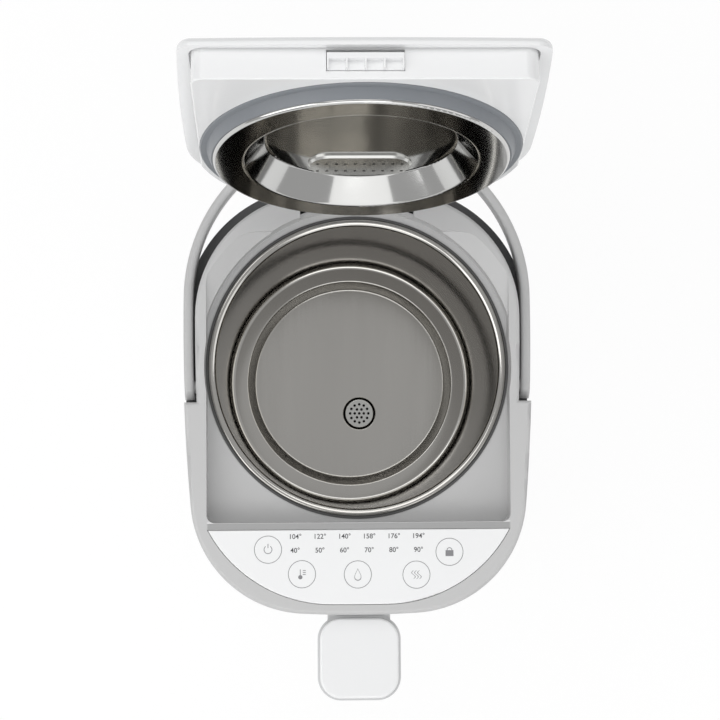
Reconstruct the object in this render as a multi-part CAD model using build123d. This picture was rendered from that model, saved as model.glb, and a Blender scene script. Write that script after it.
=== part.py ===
from build123d import *
import os
from math import cos, pi, radians, sin

# Hot water dispenser of the five litre class, with its lid open and its carrying handle folded back.
# Millimetres. Z is up from the table, the pot's axis is X = Y = 0, the spout faces -Y, the hinge is at +Y.

# Casing, seen from above: four long arcs that meet in rounded corners
CASE_HALF_WIDTH = 106.4
CASE_FRONT_MARGIN = 6.1
CASE_REAR_MARGIN = 17.8
WIDEST_Y = 25.0
SIDE_RADIUS = 1290.0
FRONT_RADIUS = 670.0
REAR_RADIUS = 250.0
FRONT_CORNER = 71.0
REAR_CORNER = 83.0
CASE_WALL = 2.6

# Heights above the table
FOOT_HEIGHT = 5.0
BASE_THICKNESS = 3.0
COLLAR_RISE = 18.0
LEDGE_DROP = 8.0
LEDGE_THICKNESS = 3.0
LEDGE_LIP = 5.0

# Clearances
FIT = 0.3
RUNNING = 0.06
SEATED = 0.02

# Carrying handle
HANDLE_THICKNESS = 5.8
HANDLE_HEIGHT = 16.0
HANDLE_GAP = 1.8
HANDLE_REST_GAP = 1.0
HANDLE_ARC_Y = 35.0
HANDLE_EDGE = 2.0
PIVOT_Y = -12.0
PIVOT_RADIUS = 4.0
PIVOT_HEAD_RADIUS = 6.0
PIVOT_HEAD_DEPTH = 1.6
PIVOT_GRIP = 4.6
PIVOT_BLOCK_LENGTH = 26.0
PIVOT_BLOCK_DEPTH = 6.0

# Collar: recess for the lid, seat of the pot, seat of the panel
FLOOR_DROP = 0.6
FLOOR_THICKNESS = 3.0
DECK_THICKNESS = 3.0
RECESS_MARGIN = 14.4
RECESS_FRONT_MARGIN = 3.0
RECESS_CORNER = 5.0
RECESS_REAR_MARGIN = 5.0
RECESS_FRONT_WALL = 6.0
DISH_SLOPE = 10.0
DISH_DEPTH = 6.0
DISH_REAR = 82.0
DISH_CORNER = 34.0
COLLAR_EDGE = 2.6
NOTCH_RISE = 9.4
LATCH_POCKET_GAP = 1.0
PANEL_SEAT_DEPTH = 2.5
PANEL_MARGIN = 0.25

# Control panel
PANEL_GAP = 4.0
PANEL_LENGTH = 45.6
PANEL_SIDE_MARGIN = 2.0
PANEL_CORNER = 85.0
PANEL_FRONT_RADIUS = 1500.0
PANEL_EDGE = 0.8
PANEL_PROUD = 0.2

# Inner pot, pressed sheet
POT_RIM_WIDTH = 5.0
POT_SHEET = 0.8
POT_DEPTH = 225.0
WALL_RISE = 12.0
HEEL_RISE = 6.0
STEP_RISE = 2.0
HEEL_WIDTH = 6.0
HEEL_LEDGE = 8.4
STEP_INSET = 6.6
DISC_INSET = 8.0
SEAL_THICKNESS = 1.4
SEAL_WIDTH = 2.4
SEAL_LIP = 1.0
SEAL_GAP = 0.2
POT_BENDS = (1.2, 4.0, 2.5, 1.5, 1.5, 1.5, 1.5)
STEP_OUT = 3.5
STEP_IN = 3.0

# Well in the pot's floor, with the strainer and the pipe to the pump
WELL_X = 7.0
WELL_Y = -22.0
WELL_RADIUS = 11.5
WELL_DEPTH = 4.2
PIPE_RADIUS = 6.0
PIPE_WALL = 2.0
PIPE_LENGTH = 12.0
PIPE_GAP = 4.0
STRAINER_DROP = 0.4
STRAINER_GAP = 1.2
STRAINER_SHEET = 1.2
STRAINER_HOLE = 0.95
STRAINER_COUNTS = (1, 6, 12)
STRAINER_PITCH = 3.3

# Heater and its cover under the pot
HEATER_WIDTH = 21.0
HEATER_THICKNESS = 5.0
HEATER_GROOVE_OFFSET = 3.5
HEATER_GROOVE_WIDTH = 1.5
HEATER_GROOVE_DEPTH = 1.0
HEATER_PIN_X = 6.0
HEATER_PIN_RADIUS = 2.2
HEATER_PIN_LENGTH = 6.0
SHIELD_FLANGE_WIDTH = 8.0
SHIELD_MARGIN = 1.0
SHIELD_DEPTH = 20.0
SHIELD_SHEET = 0.8
SHIELD_HOLE = 14.0
SHIELD_VENT_INSET = 17.0
SHIELD_VENT_RADIUS = 3.5
SHIELD_VENTS = 8
SHIELD_VENT_START = 20.0
SHIELD_BENDS = (0.9, 3.0)
STUD_RADIUS = 1.5
STUD_LENGTH = 8.0
STUD_NUT_RADIUS = 2.8
STUD_NUT_HEIGHT = 3.0
STUD_ANGLES = (90, 210, 330)
THERMOSTAT_X = -18.0
THERMOSTAT_Y = 12.0
THERMOSTAT_RADIUS = 8.0
THERMOSTAT_HEIGHT = 7.0
THERMOSTAT_CAP_RADIUS = 6.0
THERMOSTAT_CAP_HEIGHT = 10.0
THERMOSTAT_TAB_X = 3.5
THERMOSTAT_TAB_HALF = (0.4, 2.0)
THERMOSTAT_TAB_HEIGHT = 14.0
THERMISTOR_X = 18.0
THERMISTOR_Y = 16.0
THERMISTOR_RADIUS = 4.5
THERMISTOR_HEIGHT = 8.0
THERMISTOR_TAIL_RADIUS = 2.0
THERMISTOR_TAIL_HEIGHT = 14.0
SLEEVE_GAP = 0.3
SLEEVE_THICKNESS = 6.0
SLEEVE_RISE = 19.0
SLEEVE_DROP = 8.0

# Pump, on the base under the well
MOTOR_RADIUS = 18.0
MOTOR_HEIGHT = 20.0
MOTOR_EDGE = 1.5
MOTOR_FLOOR = 6.0
MOTOR_COLLAR_WALL = 2.7
VOLUTE_RADIUS = 26.0
VOLUTE_CAVITY = 20.0
VOLUTE_HEIGHT = 16.0
VOLUTE_FLOOR = 3.0
PUMP_LID_HEIGHT = 4.0
PUMP_LID_EDGE = 1.5
NIPPLE_RADIUS = 8.0
NIPPLE_BORE = 5.5
NIPPLE_LENGTH = 12.0
INLET_SLEEVE_WALL = 2.4
INLET_SLEEVE_GAP = 1.0
IMPELLER_RADIUS = 18.0
IMPELLER_DISC = 2.0
IMPELLER_LIFT = 1.5
IMPELLER_CAP = 1.5
VANE_COUNT = 6
VANE_HEIGHT = 7.0
VANE_HALF_THICKNESS = 0.7
VANE_OFFSET = 3.0
HUB_RADIUS = 5.0
SHAFT_RADIUS = 1.5
PUMP_OUTLET_X = -8.0
PUMP_OUTLET_RADIUS = 5.5
PUMP_OUTLET_BORE = 4.0
PUMP_OUTLET_LENGTH = 34.0
HOSE_RADIUS = 7.6
HOSE_SWEEP = 60.0
HOSE_BEND = 14.0
HOSE_RUN = 22.0
HOSE_TURN = 30.0

# Sight tube in the front, which is also the riser, and the hose to the nozzle
SIGHT_INSET = 11.7
SIGHT_RADIUS = 6.0
SIGHT_BORE = 4.5
SIGHT_LOW_Z = 84.0
SIGHT_DROP = 22.0
CUFF_LENGTH = 8.0
CUFF_WALL = 1.8
HOSE_CLEARANCE = 0.7
SPOUT_HOSE_DROP = 3.0
SPOUT_HOSE_RADIUS = 5.5
SPOUT_HOSE_BEND = 12.0
WINDOW_HALF_WIDTH = 9.0
WINDOW_LOW_Z = 98.0
WINDOW_DROP = 54.0
WINDOW_FLANGE = 4.0
WINDOW_FLANGE_THICKNESS = 1.5

# Spout head on the front of the casing
SPOUT_REACH = 26.9
SPOUT_COVER_WIDTH = 48.0
SPOUT_COVER_LENGTH = 48.6
SPOUT_CORNER = 13.0
SPOUT_MARGIN = 1.3
SPOUT_TOP_DROP = 10.0
SPOUT_COVER_THICKNESS = 3.4
SPOUT_HEIGHT = 52.0
SPOUT_TAPER = 4.0
SPOUT_WALL = 2.2
SPOUT_NECK_HALF_WIDTH = 19.0
SPOUT_NECK_DEPTH = 4.0
SPOUT_NECK_RISE = 4.0
SPOUT_NECK_DROP = 1.0
SPOUT_COVER_EDGE = 1.6
SPOUT_LIP = 2.0
SPOUT_LIP_GAP = 0.4
NOZZLE_RADIUS = 8.0
NOZZLE_BORE = 5.0
NOZZLE_DROP = 12.0
NOZZLE_FLANGE = 11.0
NOZZLE_FLANGE_HEIGHT = 2.0
NOZZLE_EDGE = 1.5

# Boards and power inlet
CONTROL_BOARD_HALF_WIDTH = 58.0
CONTROL_BOARD_REAR_GAP = 7.0
CONTROL_BOARD_FRONT_GAP = 12.6
CONTROL_BOARD_DROP = 11.0
CONTROL_BOARD_CORNER = 4.0
TOUCH_PAD_XS = (-32.5, 0, 32.5)
TOUCH_PAD_INSET = 13.0
TOUCH_PAD_RADIUS = 5.0
TOUCH_PAD_HEIGHT = 3.0
BOARD_CORNER = 5.0
BOARD_THICKNESS = 1.6
BOARD_POST_RADIUS = 3.0
BOARD_SCREW_RADIUS = 1.2
BOARD_SCREW_HEAD_RADIUS = 2.4
BOARD_SCREW_HEAD_HEIGHT = 1.4
CONTROL_SCREW_LENGTH = 5.0
POWER_SCREW_LENGTH = 8.0
POWER_BOARD_HALF_WIDTH = 40.0
POWER_BOARD_LOW_Y = 32.0
POWER_BOARD_HIGH_Y = 78.0
POWER_BOARD_RISE = 12.0
CAPACITOR_X = 28.0
CAPACITOR_INSET = 12.0
CAPACITOR_RADIUS = 6.0
CAPACITOR_HEIGHT = 18.0
RELAY_LOW_X = 14.0
RELAY_HIGH_X = 32.0
RELAY_INSET = 4.0
RELAY_LENGTH = 14.0
RELAY_HEIGHT = 13.0
CORE_LOW_X = -30.0
CORE_HIGH_X = 4.0
CORE_FRONT_INSET = 8.0
CORE_REAR_INSET = 10.0
CORE_HEIGHT = 26.0
CORE_EDGE = 2.0
COIL_INSET = 4.0
COIL_LIFT = 5.0
INLET_HALF_WIDTH = 20.0
INLET_LOW_Z = 26.0
INLET_HEIGHT = 24.0
INLET_DEPTH = 14.0
INLET_FLANGE = 5.0
INLET_FLANGE_THICKNESS = 3.0
SOCKET_HALF_WIDTH = 16.0
SOCKET_HALF_HEIGHT = 8.0
SOCKET_DEPTH = 8.0
PIN_SPACING = 18.0
PIN_DROP = 2.0
PIN_RADIUS = 2.0

# Feet and base screws
FOOT_RADIUS = 9.0
FOOT_REAR_X = 72.0
FOOT_REAR_Y = 62.0
FOOT_FRONT_X = 76.0
FOOT_FRONT_Y = -92.0
FOOT_SPOUT_INSET = 18.7
FOOT_STEM_RADIUS = 3.0
FOOT_EDGE = 1.2
SCREW_RADIUS = 1.9
SCREW_HEAD_RADIUS = 4.0
SCREW_HEAD_HEIGHT = 2.2
BOSS_RADIUS = 5.0
BOSS_HEIGHT = 22.0
BOSS_CAP = 4.0
BOSS_RIB = 3.0
SCREW_TIP_GAP = 6.0
BOSS_INSET = 14.4
BOSS_REAR_Y = 40.0
BOSS_FRONT_Y = -60.0

# Lid, described closed and then turned open about its hinge
HINGE_MARGIN = 7.3
HINGE_RISE = 15.0
LID_OPEN = 103.5
LID_TOP = 24.0
LID_LOW = 18.3
LID_SKIN = 2.4
LID_SIDE_GAP = 0.4
LID_FRONT_LAP = 3.8
LID_REAR_LAP = 0.2
LID_SIDE_RADIUS = 1600.0
LID_FRONT_RADIUS = 3000.0
LID_WIDEST_Y = 0.0
LID_FRONT_CORNER = 8.0
LID_REAR_CORNER = 58.0
LID_EDGE = 4.0
LID_GAP = 1.2
FRAME_LOW = 1.2
FRAME_PLATE_LOW = 3.0
FRAME_PLATE_HIGH = 5.6
FRAME_WALL = 2.4
FRAME_SIDE_GAP = 1.6
FRAME_FRONT_GAP = 1.0
FRAME_CORNER = 7.0
FRAME_REAR_GAP = 3.4
FRAME_LAP = 1.6
GASKET_MARGIN = 1.9
GASKET_LOW = 0.4
GASKET_TIP = -5.2
GASKET_EDGE = 0.6
GASKET_STRETCH = 0.1
GASKET_TIP_WIDTH = 0.7
PAN_GAP = 4.0
PAN_LOW = -6.9
PAN_SHEET = 0.8
PAN_BENDS = (0.9, 1.8, 2.2, 2.2)
PAN_FLANGE_WIDTH = 2.2
PAN_RING_WIDTH = 17.2
CUP_SLOPE_WIDTH = 11.8
CUP_TOP = 7.4
BARREL_RADIUS = 4.5
BARREL_HALF_LENGTH = 34.0
WEB_DEPTH = 12.0
WEB_DROP = 2.5
EAR_START = 34.6
EAR_END = 44.6
EAR_RADIUS = 4.5
HINGE_PIN_RADIUS = 2.0
HINGE_PIN_END = 0.6

# Steam path through the lid
VENT_Y = 34.5
VENT_HALF_LENGTH = 30.0
VENT_WIDTH = 27.0
VENT_BEAD = 2.2
VENT_PROUD = 2.0
VENT_EDGE = 1.2
VENT_SHEET = 0.8
VENT_HOLES = 10
VENT_HOLE_PITCH = 5.4
VENT_HOLE_RADIUS = 1.0
VENT_ROWS = (30.9, 41.2)
DUCT_WALL = 1.6
GRILLE_HALF_LENGTH = 26.0
GRILLE_WIDTH = 18.0
GRILLE_SLOTS = 7
GRILLE_SLOT_WIDTH = 2.4
GRILLE_PITCH = 5.76
GRILLE_BORDER = 5.0
GRILLE_FLANGE = 1.2
GRILLE_GAP = 0.1
GRILLE_DROP = 0.5

# Latch bar in the lid's front wall and the button that draws it in
LATCH_HALF_WIDTH = 20.0
LATCH_LOW = 6.0
LATCH_HIGH = 15.1
LATCH_DEPTH = 8.0
LATCH_PROUD = 3.5
LATCH_TRAVEL = 3.0
LATCH_POCKETS = 4
LATCH_RIB = 1.0
LATCH_EDGE = 1.0
LATCH_POCKET_DEPTH = 3.0
LATCH_POCKET_HEIGHT = 5.2
TONGUE_HALF_WIDTH = 8.0
TONGUE_LOW = 6.5
TONGUE_FLOOR = 8.3
TONGUE_HIGH = 12.0
TONGUE_END = -75.0
TONGUE_RAMP = -85.8
STEM_HALF_WIDTH = 6.0
STEM_FRONT = -86.2
STEM_REAR = -82.0
BUTTON_HALF_WIDTH = 18.0
BUTTON_FRONT = -90.0
BUTTON_REAR = -76.0
BUTTON_THICKNESS = 2.6
BUTTON_DROP = 0.2
BUTTON_CORNER = 2.0
BUTTON_EDGE = 0.8
BUTTON_REST = 0.5
RAMP_GAP = 0.3
SPRING_RADIUS = 2.2
SPRING_WIRE = 0.5
SPRING_TURNS = 6
ANCHOR_FRONT = -64.0
ANCHOR_THICKNESS = 2.0

BASE_TOP_Z = FOOT_HEIGHT + BASE_THICKNESS
MOTOR_TOP_Z = BASE_TOP_Z + MOTOR_HEIGHT
VOLUTE_TOP_Z = MOTOR_TOP_Z + VOLUTE_HEIGHT
PUMP_LID_TOP_Z = VOLUTE_TOP_Z + PUMP_LID_HEIGHT
PUMP_OUTLET_Z = MOTOR_TOP_Z + VOLUTE_HEIGHT / 2
WELL_UNDER_Z = PUMP_LID_TOP_Z + NIPPLE_LENGTH + PIPE_GAP + PIPE_LENGTH
POT_FLOOR_Z = WELL_UNDER_Z + POT_SHEET + WELL_DEPTH
POT_UNDER_Z = POT_FLOOR_Z - POT_SHEET
RIM_Z = POT_FLOOR_Z + POT_DEPTH
TOP_Z = RIM_Z + COLLAR_RISE
FLOOR_Z = RIM_Z - FLOOR_DROP
LEDGE_Z = RIM_Z - LEDGE_DROP
SHELL_TOP_Z = LEDGE_Z - LEDGE_THICKNESS
COLLAR_INSET = HANDLE_THICKNESS + HANDLE_GAP
HANDLE_LOW_Z = LEDGE_Z + HANDLE_REST_GAP
PIVOT_Z = HANDLE_LOW_Z + HANDLE_HEIGHT / 2
CHANNEL_FRONT = PIVOT_Y - HANDLE_HEIGHT / 2 - HANDLE_GAP
HINGE_Z = RIM_Z + HINGE_RISE
SPOUT_TOP_Z = TOP_Z - SPOUT_TOP_DROP
SPOUT_BODY_TOP_Z = SPOUT_TOP_Z - SPOUT_COVER_THICKNESS
SPOUT_LOW_Z = SPOUT_TOP_Z - SPOUT_HEIGHT
SPOUT_HOSE_Z = RIM_Z - SPOUT_HOSE_DROP
SIGHT_HIGH_Z = RIM_Z - SIGHT_DROP
WINDOW_HIGH_Z = RIM_Z - WINDOW_DROP
SLEEVE_LOW_Z = POT_FLOOR_Z + SLEEVE_RISE
WALL_LOW_Z = POT_FLOOR_Z + WALL_RISE
HEEL_Z = POT_FLOOR_Z + HEEL_RISE
STEP_Z = POT_FLOOR_Z + STEP_RISE

RECESS_HALF_WIDTH = CASE_HALF_WIDTH - RECESS_MARGIN
POT_RIM_RADIUS = RECESS_HALF_WIDTH
POT_RADIUS = POT_RIM_RADIUS - POT_RIM_WIDTH
HEEL_RADIUS = POT_RADIUS - HEEL_WIDTH
LEDGE_RADIUS = HEEL_RADIUS - HEEL_LEDGE
STEP_RADIUS = LEDGE_RADIUS - STEP_INSET
DISC_RADIUS = STEP_RADIUS - DISC_INSET
HEATER_OUTER = DISC_RADIUS
HEATER_INNER = HEATER_OUTER - HEATER_WIDTH
SHIELD_FLANGE = HEEL_RADIUS - SHIELD_MARGIN
SHIELD_RADIUS = SHIELD_FLANGE - SHIELD_FLANGE_WIDTH
STUD_CIRCLE = SHIELD_FLANGE - STUD_NUT_RADIUS
SLEEVE_INNER = POT_RADIUS + POT_SHEET + SLEEVE_GAP

RECESS_FRONT = POT_RIM_RADIUS + RECESS_FRONT_MARGIN
RECESS_REAR_RADIUS = POT_RIM_RADIUS + RECESS_REAR_MARGIN
DISH_RADIUS = RECESS_REAR_RADIUS + DISH_SLOPE
PANEL_REAR = RECESS_FRONT + PANEL_GAP
PANEL_FRONT = PANEL_REAR + PANEL_LENGTH
PANEL_HALF_WIDTH = CASE_HALF_WIDTH - PANEL_SIDE_MARGIN
CASE_FRONT = PANEL_FRONT + CASE_FRONT_MARGIN
CASE_REAR = RECESS_REAR_RADIUS + CASE_REAR_MARGIN
CONTROL_BOARD_REAR = PANEL_REAR + CONTROL_BOARD_REAR_GAP
CONTROL_BOARD_FRONT = PANEL_FRONT - CONTROL_BOARD_FRONT_GAP
SIGHT_Y = SIGHT_INSET - CASE_FRONT
SPOUT_Y = -CASE_FRONT - SPOUT_REACH
PUMP_OUTLET_Y = WELL_Y - PUMP_OUTLET_LENGTH
HINGE_Y = RECESS_REAR_RADIUS + HINGE_MARGIN
LID_HALF_WIDTH = CASE_HALF_WIDTH - HANDLE_THICKNESS - LID_SIDE_GAP
LID_FRONT = RECESS_FRONT + LID_FRONT_LAP
LID_REAR = RECESS_REAR_RADIUS + LID_REAR_LAP
FRAME_HALF_WIDTH = RECESS_HALF_WIDTH - FRAME_SIDE_GAP
FRAME_FRONT = RECESS_FRONT - FRAME_FRONT_GAP
FRAME_REAR_RADIUS = RECESS_REAR_RADIUS - FRAME_REAR_GAP
GASKET_RADIUS = POT_RIM_RADIUS - GASKET_MARGIN
PAN_RADIUS = POT_RADIUS - PAN_GAP
PAN_FLANGE = PAN_RADIUS + PAN_FLANGE_WIDTH
FRAME_HOLE = PAN_RADIUS - FRAME_LAP
CUP_MOUTH = PAN_RADIUS - PAN_RING_WIDTH
CUP_RADIUS = CUP_MOUTH - CUP_SLOPE_WIDTH

BOSS_X = CASE_HALF_WIDTH - BOSS_INSET
BOSS_PLACES = ((BOSS_X, BOSS_REAR_Y), (-BOSS_X, BOSS_REAR_Y), (BOSS_X, BOSS_FRONT_Y), (-BOSS_X, BOSS_FRONT_Y))
FOOT_PLACES = ((FOOT_REAR_X, FOOT_REAR_Y), (-FOOT_REAR_X, FOOT_REAR_Y), (FOOT_FRONT_X, FOOT_FRONT_Y),
               (-FOOT_FRONT_X, FOOT_FRONT_Y), (0.0, FOOT_SPOUT_INSET - CASE_FRONT), (0.0, 0.0))
BIG = 400.0


def prism(outline, low, high):
    return extrude(Pos(0, 0, low) * outline, high - low)


def block(x0, x1, y0, y1, z0, z1):
    middle = Pos((x0 + x1) / 2, (y0 + y1) / 2, (z0 + z1) / 2)
    return middle * Box(x1 - x0, y1 - y0, z1 - z0)


def disc(radius, low, high, x=0.0, y=0.0):
    return Pos(x, y, (low + high) / 2) * Cylinder(radius, high - low)


def tube(outer, inner, low, high, x=0.0, y=0.0):
    return disc(outer, low, high, x, y) - disc(inner, low - 1, high + 1, x, y)


def rod_x(radius, x0, x1, y, z):
    return Pos((x0 + x1) / 2, y, z) * Rot(0, 90, 0) * Cylinder(radius, abs(x1 - x0))


def rod_y(radius, y0, y1, x, z):
    return Pos(x, (y0 + y1) / 2, z) * Rot(90, 0, 0) * Cylinder(radius, abs(y1 - y0))


def both_sides(shape):
    return shape + mirror(shape, about=Plane.YZ)


def turned(*points):
    """Solid of revolution about the pot's axis, from (radius, height) corners."""
    outline = make_face(Polyline(*[(r, 0, z) for r, z in points], close=True))
    return revolve(outline, Axis.Z)


def sheet_turned(points, bends, thickness, side):
    """Pressed sheet turned about the pot's axis: a bent line of (radius, height) corners made thick."""
    line = FilletPolyline(*points, radius=bends)
    strip = make_face(offset(line, amount=thickness, side=side))
    return revolve(Plane.XZ * strip, Axis.Z)


def four_arcs(half_width, front, rear, side_r, front_r, rear_r, widest_y, front_corner, rear_corner):
    right = Pos(half_width - side_r, widest_y) * Circle(side_r)
    left = Pos(side_r - half_width, widest_y) * Circle(side_r)
    ahead = Pos(0, front_r - front) * Circle(front_r)
    behind = Pos(0, rear - rear_r) * Circle(rear_r)
    outline = right & left & ahead & behind
    outline = fillet(outline.vertices().group_by(Axis.Y)[0], front_corner)
    return fillet(outline.vertices().group_by(Axis.Y)[-1], rear_corner)


def case_plan(inset=0.0):
    """Casing outline moved inwards: every arc keeps its centre."""
    return four_arcs(CASE_HALF_WIDTH - inset, CASE_FRONT - inset, CASE_REAR - inset, SIDE_RADIUS - inset,
                     FRONT_RADIUS - inset, REAR_RADIUS - inset, WIDEST_Y, FRONT_CORNER - inset,
                     REAR_CORNER - inset)


def half_plane(y0, y1):
    return Pos(0, (y0 + y1) / 2) * Rectangle(2 * BIG, y1 - y0)


def bowed_rect(half_width, front, rear_radius, corner, grow=0.0):
    """Front part with square corners, rear part an arc about the pot's axis."""
    width = 2 * (half_width + grow)
    front_part = Pos(0, -(front + grow) / 2) * Rectangle(width, front + grow)
    front_part = fillet(front_part.vertices().group_by(Axis.Y)[0], corner)
    rear_part = Circle(rear_radius + grow) & (Pos(0, BIG / 2) * Rectangle(width, BIG))
    return front_part + rear_part


def recess_plan(grow=0.0):
    return bowed_rect(RECESS_HALF_WIDTH, RECESS_FRONT, RECESS_REAR_RADIUS, RECESS_CORNER, grow)


def panel_plan():
    outline = four_arcs(PANEL_HALF_WIDTH, PANEL_FRONT, CASE_REAR, SIDE_RADIUS, PANEL_FRONT_RADIUS,
                        REAR_RADIUS, WIDEST_Y, PANEL_CORNER, REAR_CORNER)
    return outline & half_plane(-BIG, -PANEL_REAR)


def outer_shell():
    shell = prism(case_plan(), FOOT_HEIGHT, SHELL_TOP_Z) - prism(case_plan(CASE_WALL), 0, BIG)
    low_edges = shell.faces().sort_by(Axis.Z)[0].outer_wire().edges()
    shell = chamfer(low_edges, CASE_WALL / 2)
    inside = case_plan(CASE_WALL - SEATED)
    for x, y in BOSS_PLACES:
        outward = BIG if x > 0 else -BIG
        rib = block(min(x, outward), max(x, outward), y - BOSS_RIB / 2, y + BOSS_RIB / 2, BASE_TOP_Z,
                    BASE_TOP_Z + BOSS_HEIGHT)
        shell += disc(BOSS_RADIUS, BASE_TOP_Z, BASE_TOP_Z + BOSS_HEIGHT, x, y)
        shell += rib & prism(inside, 0, BIG)
        shell -= disc(SCREW_RADIUS + SEATED, 0, BASE_TOP_Z + BOSS_HEIGHT - BOSS_CAP, x, y)
    window = WINDOW_HALF_WIDTH
    shell -= block(-window, window, -BIG, SIGHT_Y, WINDOW_LOW_Z, WINDOW_HIGH_Z)
    inlet = INLET_HALF_WIDTH + FIT
    inlet_low = INLET_LOW_Z - FIT
    shell -= block(-inlet, inlet, 0, BIG, inlet_low, INLET_LOW_Z + INLET_HEIGHT + FIT) & disc(BIG, 0, BIG)
    return shell


def handle_channel():
    """Dark ledge that the folded handle lies over, open to the front where the collar comes down."""
    ring = case_plan() - case_plan(COLLAR_INSET + LEDGE_LIP)
    return prism(ring & half_plane(CHANNEL_FRONT, BIG), SHELL_TOP_Z, LEDGE_Z)


def collar():
    front_half = half_plane(-BIG, CHANNEL_FRONT)
    front_part = prism(case_plan() & front_half, SHELL_TOP_Z, TOP_Z)
    inner_part = prism(case_plan(COLLAR_INSET), LEDGE_Z, TOP_Z)
    body = front_part + inner_part
    body = fillet(body.faces().sort_by(Axis.Z)[-1].outer_wire().edges(), COLLAR_EDGE)

    under_floor = FLOOR_Z - FLOOR_THICKNESS
    under_deck = TOP_Z - DECK_THICKNESS - PANEL_SEAT_DEPTH
    front_wall = recess_plan(RECESS_FRONT_WALL) & half_plane(-BIG, -RECESS_FRONT + 20)
    well_plan = recess_plan(CASE_WALL) + front_wall
    hollow = (case_plan(CASE_WALL) & front_half) + case_plan(COLLAR_INSET + CASE_WALL)
    body -= prism(hollow, SHELL_TOP_Z - 1, under_floor)
    block_x = RECESS_HALF_WIDTH - PIVOT_BLOCK_DEPTH
    pivot_blocks = Pos(0, PIVOT_Y) * (Rectangle(2 * BIG, PIVOT_BLOCK_LENGTH) - Rectangle(2 * block_x, BIG))
    body -= prism(hollow - well_plan - pivot_blocks, under_floor - 1, under_deck)
    body -= prism(recess_plan(), FLOOR_Z, BIG)

    dish_outline = Pos(0, (DISH_REAR - 10) / 2) * Rectangle(2 * RECESS_HALF_WIDTH, DISH_REAR + 10)
    dish_outline = fillet(dish_outline.vertices().group_by(Axis.Y)[-1], DISH_CORNER)
    dish_low = TOP_Z - DISH_DEPTH
    dish = turned((0, dish_low), (RECESS_REAR_RADIUS, dish_low), (DISH_RADIUS, TOP_Z),
                  (DISH_RADIUS, TOP_Z + 5), (0, TOP_Z + 5))
    body -= dish & prism(dish_outline, 0, BIG)

    seal_bed = RIM_Z - POT_SHEET - SEAL_THICKNESS
    body -= disc(POT_RIM_RADIUS - SEAL_WIDTH + SEAL_LIP, 0, BIG)
    body -= disc(POT_RIM_RADIUS + SEAL_LIP + FIT, seal_bed, BIG)
    body -= prism(panel_plan(), TOP_Z - PANEL_SEAT_DEPTH, BIG)

    body -= block(-EAR_START, EAR_START, 0, BIG, RIM_Z + NOTCH_RISE, TOP_Z + 5)
    pocket_x = LATCH_HALF_WIDTH + LATCH_POCKET_GAP
    pocket_front = -FRAME_FRONT - LATCH_PROUD - LATCH_POCKET_GAP
    body -= block(-pocket_x, pocket_x, pocket_front, -RECESS_FRONT + 1, RIM_Z + LATCH_LOW - LATCH_POCKET_GAP,
                  RIM_Z + LATCH_HIGH + LATCH_POCKET_GAP)

    ear = rod_x(EAR_RADIUS, EAR_START, EAR_END, HINGE_Y, HINGE_Z)
    ear += block(EAR_START, EAR_END, HINGE_Y - EAR_RADIUS, HINGE_Y + EAR_RADIUS, LEDGE_Z, HINGE_Z)
    body += both_sides(ear - prism(case_plan(COLLAR_INSET + CASE_WALL / 2), 0, BIG))
    body -= rod_x(HINGE_PIN_RADIUS + SEATED, -BIG, BIG, HINGE_Y, HINGE_Z)
    wall_x = CASE_HALF_WIDTH - COLLAR_INSET
    pins = rod_x(PIVOT_RADIUS + SEATED, wall_x - PIVOT_GRIP, wall_x + 5, PIVOT_Y, PIVOT_Z)
    body -= both_sides(pins)
    body -= rod_y(SPOUT_HOSE_RADIUS + HOSE_CLEARANCE, -BIG, SIGHT_Y, 0, SPOUT_HOSE_Z)

    post_top = TOP_Z - PANEL_SEAT_DEPTH - 1
    for x, y in control_board_corners():
        post = disc(BOARD_POST_RADIUS, TOP_Z - CONTROL_BOARD_DROP, post_top, x, y)
        body += post - disc(BOARD_SCREW_RADIUS + SEATED, 0, post_top - 2, x, y)
    return body


def control_board_corners():
    inner_x = CONTROL_BOARD_HALF_WIDTH - BOARD_CORNER
    rows = (CONTROL_BOARD_REAR + CONTROL_BOARD_CORNER, CONTROL_BOARD_FRONT - CONTROL_BOARD_CORNER)
    return [(sx * inner_x, -y) for sx in (1, -1) for y in rows]


def control_panel():
    plate = offset(panel_plan(), amount=-PANEL_MARGIN)
    panel = prism(plate, TOP_Z - PANEL_SEAT_DEPTH, TOP_Z + PANEL_PROUD)
    return fillet(panel.faces().sort_by(Axis.Z)[-1].outer_wire().edges(), PANEL_EDGE)


def control_board():
    high = TOP_Z - CONTROL_BOARD_DROP
    width = CONTROL_BOARD_HALF_WIDTH
    board = block(-width, width, -CONTROL_BOARD_FRONT, -CONTROL_BOARD_REAR, high - BOARD_THICKNESS, high)
    for x, y in control_board_corners():
        board -= disc(BOARD_SCREW_RADIUS + FIT, 0, BIG, x, y)
    for x in TOUCH_PAD_XS:
        board += disc(TOUCH_PAD_RADIUS, high - SEATED, high + TOUCH_PAD_HEIGHT, x,
                      -CONTROL_BOARD_REAR - TOUCH_PAD_INSET)
    return board


def control_board_screws():
    under = TOP_Z - CONTROL_BOARD_DROP - BOARD_THICKNESS
    screws = []
    for x, y in control_board_corners():
        head = disc(BOARD_SCREW_HEAD_RADIUS, under - BOARD_SCREW_HEAD_HEIGHT, under, x, y)
        screws.append(head + disc(BOARD_SCREW_RADIUS, under - 1, under + CONTROL_SCREW_LENGTH, x, y))
    return Compound(children=screws)


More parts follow.
